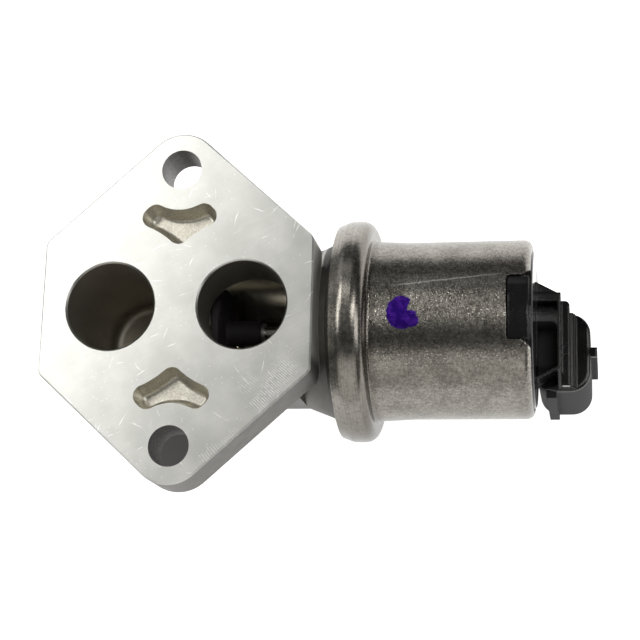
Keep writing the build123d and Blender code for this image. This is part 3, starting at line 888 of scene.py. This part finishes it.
@dataclass(frozen=True)
class PlatedCan(Finish):
    """Dull plated steel of the drawn can, mottled and rubbed, with a paint dab on top.

    Lengths are in millimetres, and places are along the can and round it from its top.
    """

    mean_r: float = 18.7
    ring_end: float = 38.2
    ring_edge: Span = (0.4, -0.4)
    # Band at the foot of the ring that is made darker
    ring_foot_start: Span = (-2.2, -0.6)
    ring_foot_end: Span = (2.6, 0.0)
    # Band round the can's top in which glints are painted
    lit_middle: float = -1.0
    lit_half: Span = (14.0, 6.0)
    facet_size: Triple = (0.16, 0.9, 1.0)
    drawn_size: Triple = (7.0, 0.5, 1.0)
    turned_size: Triple = (0.22, 9.0, 1.0)
    slanting: Strokes = Strokes(38.0, 22.0, 2.0, 0.06)
    lengthways: Strokes = Strokes(3.0, 60.0, 4.4, 0.03)
    crossways: Strokes = Strokes(86.0, 36.0, 5.0, 0.03)
    slanting_arc: Span = (-7.0, -10.0)
    # Arc round the can over which its lower side gets painted shade
    lower_arc: Span = (-11.0, -25.0)
    scratch_place: Triple = (54.5, 6.43, 0.0)
    scratch_turn: float = 6.35
    scratch_width: Span = (0.17, 0.07)
    scratch_half: Span = (12.0, 9.0)
    blob_place: Triple = (45.4, -0.7, 0.0)
    blob_size: Triple = (3.05, 3.45, 1.0)
    toe_place: Triple = (47.0, -2.1, 0.0)
    toe_turn: float = -20.0
    toe_size: Triple = (2.0, 1.6, 1.0)
    notch_place: Triple = (46.6, -0.15, 0.0)
    notch_turn: float = -14.0
    notch_edge: Span = (-0.12, 0.12)
    dab_edge: Span = (1.03, 0.96)
    rag_shift: Triple = (31.0, 7.0, 0.0)
    plating: ColourPair = ((0.185, 0.172, 0.154), (0.345, 0.325, 0.293))
    fleck: Colour = (0.11, 0.10, 0.088)
    # Painted glints, only in the lit band
    painted_glint: Colour = (0.78, 0.75, 0.68)
    ring_metal: ColourPair = ((0.27, 0.255, 0.23), (0.38, 0.36, 0.325))
    ring_fleck: Colour = (0.14, 0.13, 0.115)
    # Darker colour at the foot of the ring
    ring_foot_dark: Colour = (0.12, 0.105, 0.09)
    scuffed: Colour = (0.62, 0.60, 0.55)
    scratched: Colour = (0.95, 0.93, 0.88)
    # Painted shade on the lower side of the can and ring
    painted_underside_shade: Colour = (0.06, 0.054, 0.048)
    paint: ColourPair = ((0.026, 0.006, 0.16), (0.080, 0.020, 0.32))

    def dab(self, bench: Bench, flat: Vec) -> Val:
        """1 inside the paint dab.

        Args:
            bench: Bench on the material's tree.
            flat: Coordinates along the can and round it, in millimetres.

        Returns:
            The mask.
        """
        spots = (flat, flat + self.rag_shift)
        rags = [bench.noise(spot, scale=1.5, detail=3.0, rough=0.65) for spot in spots]
        shaken = flat + (bench.join(*rags, 0.5) - MEAN_NOISE) * IN_PLANE
        blob = bench.place(shaken, self.blob_place, 0.0, self.blob_size).length()
        toe = bench.place(shaken, self.toe_place, self.toe_turn, self.toe_size).length()
        across, up, _ = bench.place(shaken, self.notch_place, self.notch_turn).parts()
        notch = across.ramp(*self.notch_edge) * up.ramp(*self.notch_edge)
        return blob.least(toe).ramp(*self.dab_edge) * (1 - notch)

    def scuffs(self, bench: Bench, flat: Vec, arc: Val) -> Val:
        """Rubbed streaks, slanting ones on the lower side only.

        Args:
            bench: Bench on the material's tree.
            flat: Coordinates along the can and round it, in millimetres.
            arc: Way round the can, from its top.

        Returns:
            Up to 1 on a streak.
        """
        slanting = bench.strokes(flat, self.slanting) * arc.ramp(*self.slanting_arc)
        lengthways = bench.strokes(flat, self.lengthways)
        crossways = bench.strokes(flat, self.crossways)
        return strongest([slanting * 0.5, lengthways * 0.6, crossways * 0.5])

    def scratch(self, bench: Bench, flat: Vec) -> Val:
        """1 on the one long scratch.

        Args:
            bench: Bench on the material's tree.
            flat: Coordinates along the can and round it, in millimetres.

        Returns:
            The mask.
        """
        along, across, _ = bench.place(flat, self.scratch_place, self.scratch_turn).parts()
        sway = bench.noise(flat, scale=0.3, detail=1.0) * 0.3
        return abs(across + sway - 0.15).ramp(*self.scratch_width) * abs(along).ramp(*self.scratch_half)

    def surface(self, bench: Bench) -> Surface:
        """Warm grey plating with speckle, rubbed streaks, fine scratches and the dab.

        Args:
            bench: Bench on the material's tree.

        Returns:
            The sockets and values for the shader.
        """
        where = bench.millimetres()
        x, y, z = where.parts()
        arc = y.angle_from(z + AXIS_DEPTH) * self.mean_r
        flat = bench.join(x, arc, 0.0)

        cloud = bench.noise(where, scale=0.22, detail=4.0, rough=0.6)
        mottle = bench.noise(where, scale=1.1, detail=4.0, rough=0.7)
        speckle = bench.noise(where, scale=2.6, detail=2.0, rough=0.6)
        lit_band = abs(arc - self.lit_middle).ramp(*self.lit_half, start=0.25)
        # Painted glints, scattered only in the band where the can is lit
        painted_glints = bench.noise(where, scale=3.6, detail=1.0).ramp(0.55, 0.70) * lit_band
        facets = bench.drawn_noise(flat, self.facet_size, detail=1.0)
        drawn = bench.drawn_noise(flat, self.drawn_size, detail=3.0)
        turned = bench.drawn_noise(flat, self.turned_size)
        past_ring = x - self.ring_end
        ring = past_ring.ramp(*self.ring_edge)
        # Darker at the foot of the ring, where it meets the can
        ring_foot_dark = past_ring.ramp(*self.ring_foot_end) * past_ring.ramp(*self.ring_foot_start)

        tone = cloud * 0.38 + mottle * 0.50 + drawn * 0.12
        can = bench.mix(tone.ramp(0.40, 0.62), *self.plating)
        can = bench.mix(speckle.ramp(0.50, 0.34) * 0.55, can, self.fleck)
        can = bench.mix(painted_glints * 0.85, can, self.painted_glint)
        bright = bench.mix(turned.ramp(*EVEN_SPREAD), *self.ring_metal)
        bright = bench.mix(mottle.ramp(0.54, 0.36) * 0.5, bright, self.ring_fleck)
        metal = bench.mix(ring, can, bright)
        metal = bench.mix(ring_foot_dark * 0.55, metal, self.ring_foot_dark)

        scratch = self.scratch(bench, flat)
        scuffs = self.scuffs(bench, flat, arc) * (1 - ring) * mottle.ramp(0.35, 0.65)
        marks = scuffs.most(scratch)
        metal = bench.mix(marks * 0.6, metal, self.scuffed)
        metal = bench.mix(scratch * 0.8, metal, self.scratched)
        # Painted shade on the lower side, stronger on the ring
        metal = bench.mix(arc.ramp(*self.lower_arc) * (0.32 + ring * 0.3), metal, self.painted_underside_shade)

        dab = self.dab(bench, flat)
        swirl = bench.noise(flat, scale=0.55, detail=3.0, rough=0.6)
        paint = bench.mix(swirl.ramp(0.42, 0.66), *self.paint)
        rough_can = 0.17 + mottle * 0.14 + speckle * 0.06 - painted_glints * 0.05
        rough_ring = 0.16 + mottle * 0.15 + turned * 0.05
        rough_paint = 0.34 + swirl * 0.2
        rough = rough_can.blend(rough_ring, ring)
        relief = (speckle * 0.055 + mottle * 0.05) * (1 - ring * 0.6) + turned * 0.004
        relief = relief + facets * 0.05 * (1 - ring) - marks * 0.01
        return Surface(
            colour=bench.mix(dab, metal, paint),
            roughness=rough.blend(rough_paint, dab),
            metallic=1.0,
            height=relief * (1 - dab * 0.6) + dab * 0.05,
            edge=0.18,
        )


@dataclass(frozen=True)
class MouldedPlastic(Finish):
    """Moulded plastic with a fine eroded grain, rub marks, a little dust and a painted highlight on one
    ledge.

    Attributes:
        base: Colour as moulded.
        rubbed: Colour where it is rubbed.
        gloss: Roughness of the eroded skin.
        grain: Grains per millimetre.
        smooth_to: Place along X up to which the skin is smooth, in millimetres.
        round_off: Radius that edges look rounded by.
        matt_below: Height below which the skin is matt.
        steps_from: Place along X from which the steps are smooth.
        dark_from: Place along X from which they are clean and black.
        skin_fade: Length in which the smooth skin turns into the eroded one.
        matt_fade: Height in which the skin turns matt.
        step_fade: Length in which the steps turn smooth, and black.
        ledge_end: Span along X in which the ledge with the painted highlight ends.
        ledge_top: Span along Y in which it starts.
        ledge_foot: Span along Y in which it ends.
        ledge_highlight: Share of painted highlight on the ledge.
        ledge_highlight_tone: Colour of that painted highlight.
        rubs: Rub marks.
        flow_size: Size of the flow marks along each axis.
    """

    base: Colour = (0.011, 0.0105, 0.011)
    rubbed: Colour = (0.024, 0.023, 0.025)
    gloss: float = 0.34
    grain: float = 6.0
    smooth_to: float = 0.0
    round_off: float = 0.2
    matt_below: float = -OFF_THE_VALVE
    steps_from: float = OFF_THE_VALVE
    dark_from: float = OFF_THE_VALVE
    skin_fade: float = 0.1
    matt_fade: float = 0.5
    step_fade: float = 0.6
    ledge_end: Span = (76.2, 75.8)
    ledge_top: Span = (3.5, 2.5)
    ledge_foot: Span = (-7.0, -5.5)
    # Share and colour of the painted highlight on the ledge
    ledge_highlight: float = 0.0
    ledge_highlight_tone: Colour = (0.07, 0.067, 0.07)
    rubs: Sequence[Strokes] = (
        Strokes(20.0, 14.0, 1.4, 0.07),
        Strokes(-60.0, 11.0, 1.6, 0.06),
    )
    flow_size: Triple = (3.0, 3.0, 0.8)

    def surface(self, bench: Bench) -> Surface:
        """Even colour, broken by cloudy sheen, rub marks and grain.

        Args:
            bench: Bench on the material's tree.

        Returns:
            The sockets and values for the shader.
        """
        where = bench.millimetres()
        x, y, z = where.parts()
        cloud = bench.noise(where, scale=0.25, detail=3.0, rough=0.6)
        grain = bench.noise(where, scale=self.grain)
        flow = bench.drawn_noise(where, self.flow_size)
        rub = strongest([bench.strokes(where, kind) for kind in self.rubs])
        motes = bench.cells(where, scale=1.1).ramp(0.12, 0.05) * cloud.ramp(0.5, 0.66)
        matt = z.ramp(self.matt_below, self.matt_below - self.matt_fade)
        dark = x.ramp(self.dark_from, self.dark_from + self.step_fade) * (1 - matt)
        steps = x.ramp(self.steps_from, self.steps_from + self.step_fade) * (1 - matt)
        eroded = x.ramp(self.smooth_to, self.smooth_to + self.skin_fade) * (1 - steps * 0.9)
        ledge = x.ramp(*self.ledge_end) * y.ramp(*self.ledge_top) * y.ramp(*self.ledge_foot)

        colour = bench.mix(cloud.ramp(0.4, 0.75) * 0.35 + flow * 0.1, self.base, self.rubbed)
        colour = bench.mix(rub * 0.15 + motes * 0.3, colour, scaled(self.rubbed, 3.0))
        colour = bench.mix(dark * 0.9, colour, BLACK)
        # Painted highlight on the rounded ledge of the cap
        colour = bench.mix(eroded * ledge * self.ledge_highlight, colour, self.ledge_highlight_tone)
        rough = self.gloss * (0.35 + eroded * 0.65) + cloud * 0.10
        return Surface(
            colour=colour,
            roughness=rough + grain * 0.06 * eroded + rub * 0.1 + matt * 0.6,
            height=(grain * 0.012 + flow * 0.01) * (0.15 + eroded * 0.85) - rub * 0.006,
            edge=self.round_off,
        )


@dataclass(frozen=True)
class TurnedMetal(Finish):
    """Turned, drawn or stamped metal with fine rings about the solenoid axis.

    Attributes:
        base: Colour of the metal.
        worn: Colour where it is bright.
        gloss: Roughness of the bright metal.
        pitch: Distance from ring to ring, in millimetres.
        handling: Handling marks.
    """

    base: Colour = (0.55, 0.55, 0.55)
    worn: Colour = (0.70, 0.70, 0.70)
    gloss: float = 0.28
    pitch: float = 0.18
    handling: Strokes = Strokes(10.0, 10.0, 0.8, 0.08)

    def surface(self, bench: Bench) -> Surface:
        """Tool rings, cloudy tarnish and a few handling marks.

        Args:
            bench: Bench on the material's tree.

        Returns:
            The sockets and values for the shader.
        """
        where = bench.millimetres()
        along = where.parts()[0] + bench.noise(where, scale=0.6, detail=1.0) * 0.15
        rings = (along * (math.tau / self.pitch)).sine()
        cloud = bench.noise(where, scale=0.5, detail=3.0, rough=0.6)
        marks = bench.strokes(where, self.handling)
        colour = bench.mix(cloud.ramp(*EVEN_SPREAD), self.base, self.worn)
        dulled = rings.ramp(*WHOLE_WAVE) * 0.2 + marks * 0.3
        return Surface(
            colour=bench.mix(dulled, colour, scaled(self.base, 0.7)),
            roughness=self.gloss + cloud * 0.12 + marks * 0.1,
            metallic=1.0,
            height=rings * 0.002 - marks * 0.004,
        )


@dataclass(frozen=True)
class SealRubber(Finish):
    """Black rubber with a faint bloom."""

    base: Colour = (0.014, 0.014, 0.014)
    bloom: Colour = (0.055, 0.054, 0.052)

    def surface(self, bench: Bench) -> Surface:
        """Matt black with cloudy bloom and a fine skin.

        Args:
            bench: Bench on the material's tree.

        Returns:
            The sockets and values for the shader.
        """
        where = bench.millimetres()
        cloud = bench.noise(where, scale=0.6, detail=4.0, rough=0.65)
        skin = bench.noise(where, scale=5.0)
        return Surface(
            colour=bench.mix(cloud.ramp(0.45, 0.75), self.base, self.bloom),
            roughness=0.62 + skin * 0.2,
            height=skin * 0.01,
        )


@dataclass(frozen=True)
class EnamelledWire(Finish):
    """Copper wire under clear amber enamel."""

    base: Colour = (0.50, 0.19, 0.07)
    pale: Colour = (0.66, 0.30, 0.13)
    turn_size: Triple = (0.5, 9.0, 9.0)

    def surface(self, bench: Bench) -> Surface:
        """Copper that changes a little from turn to turn.

        Args:
            bench: Bench on the material's tree.

        Returns:
            The sockets and values for the shader.
        """
        where = bench.millimetres()
        turn = bench.drawn_noise(where, self.turn_size)
        film = bench.noise(where, scale=1.5)
        return Surface(
            colour=bench.mix(turn.ramp(*EVEN_SPREAD), self.base, self.pale),
            roughness=0.22 + film * 0.14,
            metallic=1.0,
            height=film * 0.003,
            bump=0.4,
        )


class Shade(NamedTuple):
    """A soft oval shade on the floor, in millimetres.

    Attributes:
        centre: Middle of the oval.
        size: Half lengths along X and Y, where the shade ends.
        core: Share of them up to which it is full.
    """

    centre: tuple[float, float]
    size: tuple[float, float]
    core: float


@dataclass(frozen=True)
class StudioFloor(Finish):
    """Plain white sheet under the valve, lit evenly and shaded under the casting and the can."""

    glow: float = 0.95
    sheet: ColourPair = ((0.86, 0.86, 0.86), (0.88, 0.88, 0.88))
    shaded: Colour = (0.12, 0.11, 0.11)
    shaded_glow: Colour = (0.03, 0.03, 0.03)
    shades: Sequence[Shade] = (
        Shade((-13.5, -14.5), (13.0, 14.0), 0.66),
        Shade((-13.0, 6.0), (27.0, 34.0), 0.2),
        Shade((28.0, 8.0), (42.0, 18.0), 0.1),
    )

    def surface(self, bench: Bench) -> Surface:
        """Matt white with a barely visible cloud, dark in the shades.

        Args:
            bench: Bench on the material's tree.

        Returns:
            The sockets and values for the shader.
        """
        where = bench.millimetres()
        cloud = bench.noise(where, scale=0.01)
        ovals = []
        for oval in self.shades:
            away = bench.place(where, (*oval.centre, 0.0), 0.0, (*oval.size, HEIGHT_IGNORED)).length()
            ovals.append(away.ramp(1.0, oval.core))
        shade = strongest(ovals)
        return Surface(
            colour=bench.mix(shade, bench.mix(cloud, *self.sheet), self.shaded),
            roughness=0.75 + cloud * 0.1,
            specular=0.1,
            glow=bench.mix(shade, WHITE, self.shaded_glow),
            glow_strength=self.glow,
        )


class Slot(Enum):
    """Finishes by the record's material slot."""

    CAST_ALUMINIUM = CastAluminium("cast_aluminium_body")
    PLATED_STEEL = PlatedCan("plated_can_steel")
    BLACK_PLASTIC = MouldedPlastic(
        "black_cap_plastic",
        gloss=0.14,
        smooth_to=71.7,
        round_off=0.6,
        matt_below=-30.2,
        steps_from=76.0,
        dark_from=78.6,
        ledge_highlight=0.8,
    )
    POPPET_PLASTIC = MouldedPlastic(
        "poppet_plastic",
        base=(0.006, 0.0055, 0.007),
        rubbed=(0.014, 0.013, 0.016),
        gloss=0.07,
        grain=7.0,
    )
    BOBBIN_PLASTIC = MouldedPlastic("bobbin_plastic", (0.52, 0.49, 0.42), (0.62, 0.60, 0.53), 0.42, 5.0)
    TINNED_BRASS = TurnedMetal("tinned_terminals", (0.58, 0.56, 0.51), (0.70, 0.68, 0.62), 0.30, 0.25)
    SOFT_IRON = TurnedMetal("soft_iron", (0.36, 0.355, 0.35), (0.48, 0.475, 0.465), 0.34, 0.22)
    SPRING_STEEL = TurnedMetal("spring_steel", (0.40, 0.40, 0.41), (0.55, 0.55, 0.55), 0.26, 0.12)
    BRIGHT_BRASS = TurnedMetal("bush_brass", (0.66, 0.49, 0.20), (0.78, 0.61, 0.30), 0.26, 0.16)
    BRIGHT_STEEL = TurnedMetal("ground_steel", (0.62, 0.62, 0.60), (0.78, 0.78, 0.76), 0.18, 0.14)
    RUBBER = SealRubber("seal_rubber")
    COPPER = EnamelledWire("coil_wire")


@dataclass
class SubAssembly:
    """Some CAD nodes that are dressed together."""

    frame: Mapping[str, Any]
    finishes: Mapping[str, Slot] = field(default_factory=dict)

    def dress(self) -> None:
        """Give each CAD node its finish."""
        for node, slot in self.finishes.items():
            mesh = self.frame["nodes"][node].data
            mesh.materials.clear()
            mesh.materials.append(slot.value.material())
            LOG.info("dressed %s in %s", node, slot.value.name)

    def build(self) -> None:
        """Make the pieces that the CAD nodes lack; most have none."""


@dataclass
class CastBody(SubAssembly):
    """The casting with its flange, ports and barrel."""

    finishes: Mapping[str, Slot] = field(default_factory=lambda: {"valve_body": Slot.CAST_ALUMINIUM})


@dataclass
class CanAndCap(SubAssembly):
    """The drawn can and the moulded cap with its socket and terminals."""

    finishes: Mapping[str, Slot] = field(
        default_factory=lambda: {
            "solenoid_can": Slot.PLATED_STEEL,
            "connector_cap": Slot.BLACK_PLASTIC,
            "terminal_left": Slot.TINNED_BRASS,
            "terminal_right": Slot.TINNED_BRASS,
            "body_seal": Slot.RUBBER,
            "cap_seal": Slot.RUBBER,
        }
    )


@dataclass
class CoilStack(SubAssembly):
    """The coil on its former, with the plates, guides and pole piece. Sizes are in millimetres."""

    wire_r: float = 0.25
    turn_pitch: float = 0.53
    ring_r: float = 15.6
    ring_sides: int = 72
    wire_sides: int = 8
    finishes: Mapping[str, Slot] = field(
        default_factory=lambda: {
            "front_plate": Slot.SOFT_IRON,
            "rear_plate": Slot.SOFT_IRON,
            "fixed_core": Slot.SOFT_IRON,
            "adjusting_screw": Slot.BRIGHT_STEEL,
            "bobbin": Slot.BOBBIN_PLASTIC,
            "winding": Slot.COPPER,
            "wave_washer": Slot.SPRING_STEEL,
            "guide_sleeve": Slot.BRIGHT_BRASS,
            "front_bush": Slot.BRIGHT_BRASS,
            "shaft_seal": Slot.RUBBER,
        }
    )

    def turns_tree(self) -> Grower:
        """Tree that lays rings of wire side by side.

        Returns:
            The tree, with named inputs for its sizes.
        """
        grower = Grower("wire_turns", ("Start", "Pitch", "Ring Radius", "Wire Radius"), ("Turns",))
        take = grower.take
        row = grower.step(
            "GeometryNodeMeshLine",
            {"mode": "OFFSET"},
            {
                "Count": take["Turns"],
                "Start Location": grower.join(take["Start"], 0.0, -AXIS_DEPTH * MM),
                "Offset": grower.join(take["Pitch"], 0.0, 0.0),
            },
        )
        ring = grower.circle(self.ring_sides, take["Ring Radius"])
        wire = grower.circle(self.wire_sides, take["Wire Radius"])
        turn = grower.step("GeometryNodeCurveToMesh", {}, {0: ring, 1: wire})
        laid = grower.step(
            "GeometryNodeInstanceOnPoints",
            {},
            {"Points": row, "Instance": turn, "Rotation": (0.0, math.pi / 2, 0.0)},
        )
        grower.end(laid)
        return grower

    def build(self) -> None:
        """Lay the outer layer of wire turns on the winding."""
        low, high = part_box("winding")
        room = (high.x - low.x) / MM
        turns = int((room - 2 * self.wire_r) / self.turn_pitch) + 1
        spare = room - (turns - 1) * self.turn_pitch
        layer = self.turns_tree().grow(
            "winding_turns",
            {
                "Start": low.x + spare / 2 * MM,
                "Pitch": self.turn_pitch * MM,
                "Turns": turns,
                "Ring Radius": self.ring_r * MM,
                "Wire Radius": self.wire_r * MM,
                "Finish": Slot.COPPER.value.material(),
            },
        )
        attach(layer, "housing")
        LOG.info("laid %d turns of wire", turns)


@dataclass
class Plunger(SubAssembly):
    """The poppet, shaft and armature that slide together, and their spring. Sizes are in millimetres."""

    finishes: Mapping[str, Slot] = field(
        default_factory=lambda: {
            "valve_shaft": Slot.BRIGHT_STEEL,
            "valve_poppet": Slot.POPPET_PLASTIC,
            "poppet_clip": Slot.SPRING_STEEL,
            "armature": Slot.SOFT_IRON,
            "spring_seat": Slot.BRIGHT_STEEL,
            "shaft_clip": Slot.SPRING_STEEL,
        }
    )
    wire_r: float = 0.3
    turns: int = 5
    turn_sides: int = 48
    wire_sides: int = 12

    def spring_tree(self) -> Grower:
        """Tree that winds a compression spring with flat end turns along X.

        Returns:
            The tree, with named inputs for its sizes.
        """
        grower = Grower("wound_spring", ("Start", "Length", "Turns", "Coil Radius", "Wire Radius"))
        take = grower.take
        spiral = grower.step(
            "GeometryNodeCurveSpiral",
            {},
            {
                "Resolution": self.turn_sides,
                "Rotations": take["Turns"],
                "Start Radius": take["Coil Radius"],
                "End Radius": take["Coil Radius"],
                "Height": take["Length"],
            },
        )
        across, up, along = Vec(grower, grower.add("GeometryNodeInputPosition").outputs[0]).parts()
        wound = take["Start"] + along.ramp(0.0, take["Length"], 0.0, take["Length"])
        coil = grower.step(
            "GeometryNodeSetPosition",
            {},
            {0: spiral, "Position": grower.join(wound, across, up - AXIS_DEPTH * MM)},
        )
        wire = grower.circle(self.wire_sides, take["Wire Radius"])
        grower.end(grower.step("GeometryNodeCurveToMesh", {}, {0: coil, 1: wire, "Fill Caps": True}))
        return grower

    def build(self) -> None:
        """Wind the return spring at its modelled length; in the valve, the plunger squeezes it against
        the screw.
        """
        low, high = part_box("return_spring")
        wire_r = self.wire_r * MM
        length = high.x - low.x
        stroke = next(j for j in self.frame["joints"] if j["name"] == "valve_slide")["range_m"][1]
        spring = self.spring_tree().grow(
            "spring_coil",
            {
                "Start": low.x + wire_r,
                "Length": length - 2 * wire_r,
                "Turns": float(self.turns),
                "Coil Radius": (high.z - low.z) / 2 - wire_r,
                "Wire Radius": wire_r,
                "Finish": Slot.SPRING_STEEL.value.material(),
            },
        )
        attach(spring, "housing")
        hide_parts("return_spring")
        (length - stroke) / length
        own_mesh(spring)
        LOG.info("wound %d turns of spring", self.turns)


@dataclass(frozen=True)
class SoftBox:
    """A rectangular soft light that looks at the valve.

    Attributes:
        name: Name of the light.
        place: Middle of the light, in metres.
        size: Width and height, in metres.
        power: Power in watts.
        tint: Colour of the light.
    """

    name: str
    place: Triple
    size: tuple[float, float]
    power: float
    tint: Colour = WHITE

    def build(self, target: Vector) -> None:
        """Place the light so that it faces a point.

        Args:
            target: Point that the light faces.
        """
        lamp = bpy.data.lights.new(self.name, "AREA")
        lamp.shape = "RECTANGLE"
        lamp.size, lamp.size_y = self.size
        lamp.energy = self.power
        lamp.color = self.tint
        holder = put_in_scene(self.name, lamp)
        holder.location = self.place
        holder.rotation_euler = (target - Vector(self.place)).to_track_quat("-Z", "Y").to_euler()
        holder.visible_camera = False


@dataclass
class Studio:
    """Floor, lights and camera of the photograph.

    Attributes:
        camera_place: Where the camera stands, in metres.
        looks_along: Direction that it looks in.
        upward: Direction that is up in the picture.
        lens: Focal length, in millimetres.
        sensor: Width of the sensor, in millimetres.
        near: Nearest distance that the camera sees, in metres.
        floor_half: Half the side of the floor, in metres.
        floor_gap: How far the floor lies below the valve, in metres.
        ambient: Strength of the light from all round.
        backdrop: Brightness of what the camera sees past the floor.
        lights: The soft lights.
    """

    camera_place: Triple = (0.0864, -0.0879, 0.3238)
    looks_along: Triple = (-0.1665, 0.2483, -0.9543)
    upward: Triple = (0.0154, 0.9683, 0.2492)
    lens: float = 95.7
    sensor: float = 36.0
    near: float = 0.01
    floor_half: float = 3.0
    floor_gap: float = 0.0002
    ambient: float = 0.05
    backdrop: float = 1.0
    lights: Sequence[SoftBox] = (
        SoftBox("key_light", (-0.293, 0.18, 0.60), (0.58, 0.16), 1.28, (1.0, 0.993, 0.955)),
        SoftBox("top_fill", (0.29, 0.13, 0.67), (0.18, 0.40), 0.92, (1.0, 0.985, 0.95)),
        SoftBox("front_fill", (0.03, -0.73, 0.325), (1.20, 0.71), 2.0, (1.0, 0.97, 0.93)),
        SoftBox("right_fill", (0.62, -0.06, 0.46), (0.30, 0.40), 1.1),
        SoftBox("back_light", (-0.18, 0.60, 0.45), (0.44, 0.17), 0.09),
        SoftBox("rear_fill", (-0.60, 0.75, 0.45), (0.90, 0.50), 0.55),
    )

    def build(self, low: Vector, high: Vector) -> None:
        """Make the floor, lights, air and camera.

        Args:
            low: Lowest corner of the valve.
            high: Highest corner of the valve.
        """
        self.floor(low.z - self.floor_gap)
        middle = (low + high) / 2
        for light in self.lights:
            light.build(middle)
        self.air()
        self.camera()
        LOG.info("set up the studio with %d lights", len(self.lights))

    def air(self) -> None:
        """Fill the room with faint light, in front of a white backdrop."""
        world = bpy.data.worlds.new("studio_air")
        world.use_nodes = True
        bench = Bench(world.node_tree)
        seen = bench.add("ShaderNodeLightPath").outputs["Is Camera Ray"]
        faint = bench.add("ShaderNodeBackground", {}, {0: WHITE, 1: self.ambient})
        wall = bench.add("ShaderNodeBackground", {}, {0: WHITE, 1: self.backdrop})
        shown = {0: Val(bench, seen), 1: Val(bench, faint.outputs[0]), 2: Val(bench, wall.outputs[0])}
        both = bench.add("ShaderNodeMixShader", {}, shown)
        bench.add("ShaderNodeOutputWorld", {}, {0: Val(bench, both.outputs[0])})
        bpy.context.scene.world = world
        bpy.context.scene.view_settings.view_transform = "Standard"

    def floor(self, height: float) -> None:
        """Lay the floor sheet.

        Args:
            height: Height of the floor, in metres.
        """
        half = self.floor_half
        mesh = bpy.data.meshes.new("floor_sheet")
        corners = ((-half, -half), (half, -half), (half, half), (-half, half))
        mesh.from_pydata([(*corner, height) for corner in corners], [], [(0, 1, 2, 3)])
        mesh.materials.append(StudioFloor("floor_white").material())
        floor = put_in_scene("floor_sheet", mesh)
        floor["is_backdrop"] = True

    def camera(self) -> None:
        """Set the camera where the photograph was taken from."""
        data = bpy.data.cameras.new("photo_camera")
        data.lens = self.lens
        data.sensor_width = self.sensor
        data.clip_start = self.near
        holder = put_in_scene("photo_camera", data)
        ahead = Vector(self.looks_along).normalized()
        right = ahead.cross(Vector(self.upward)).normalized()
        up = right.cross(ahead)
        turn = Matrix((right, up, -ahead)).transposed()
        holder.matrix_world = Matrix.Translation(self.camera_place) @ turn.to_4x4()
        bpy.context.scene.camera = holder


def clear_start_scene() -> None:
    """Remove the objects that a new Blender file comes with."""
    for item in list(bpy.data.objects):
        bpy.data.objects.remove(item)


def main() -> None:
    """Build and dress the valve, then set up the studio."""
    logging.basicConfig(level=logging.INFO, format="%(name)s: %(message)s")
    clear_start_scene()
    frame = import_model()
    cad_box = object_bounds()
    for group in (CastBody(frame), CanAndCap(frame), CoilStack(frame), Plunger(frame)):
        group.build()
        group.dress()
    Studio().build(*cad_box)


if __name__ == "__main__":
    main()
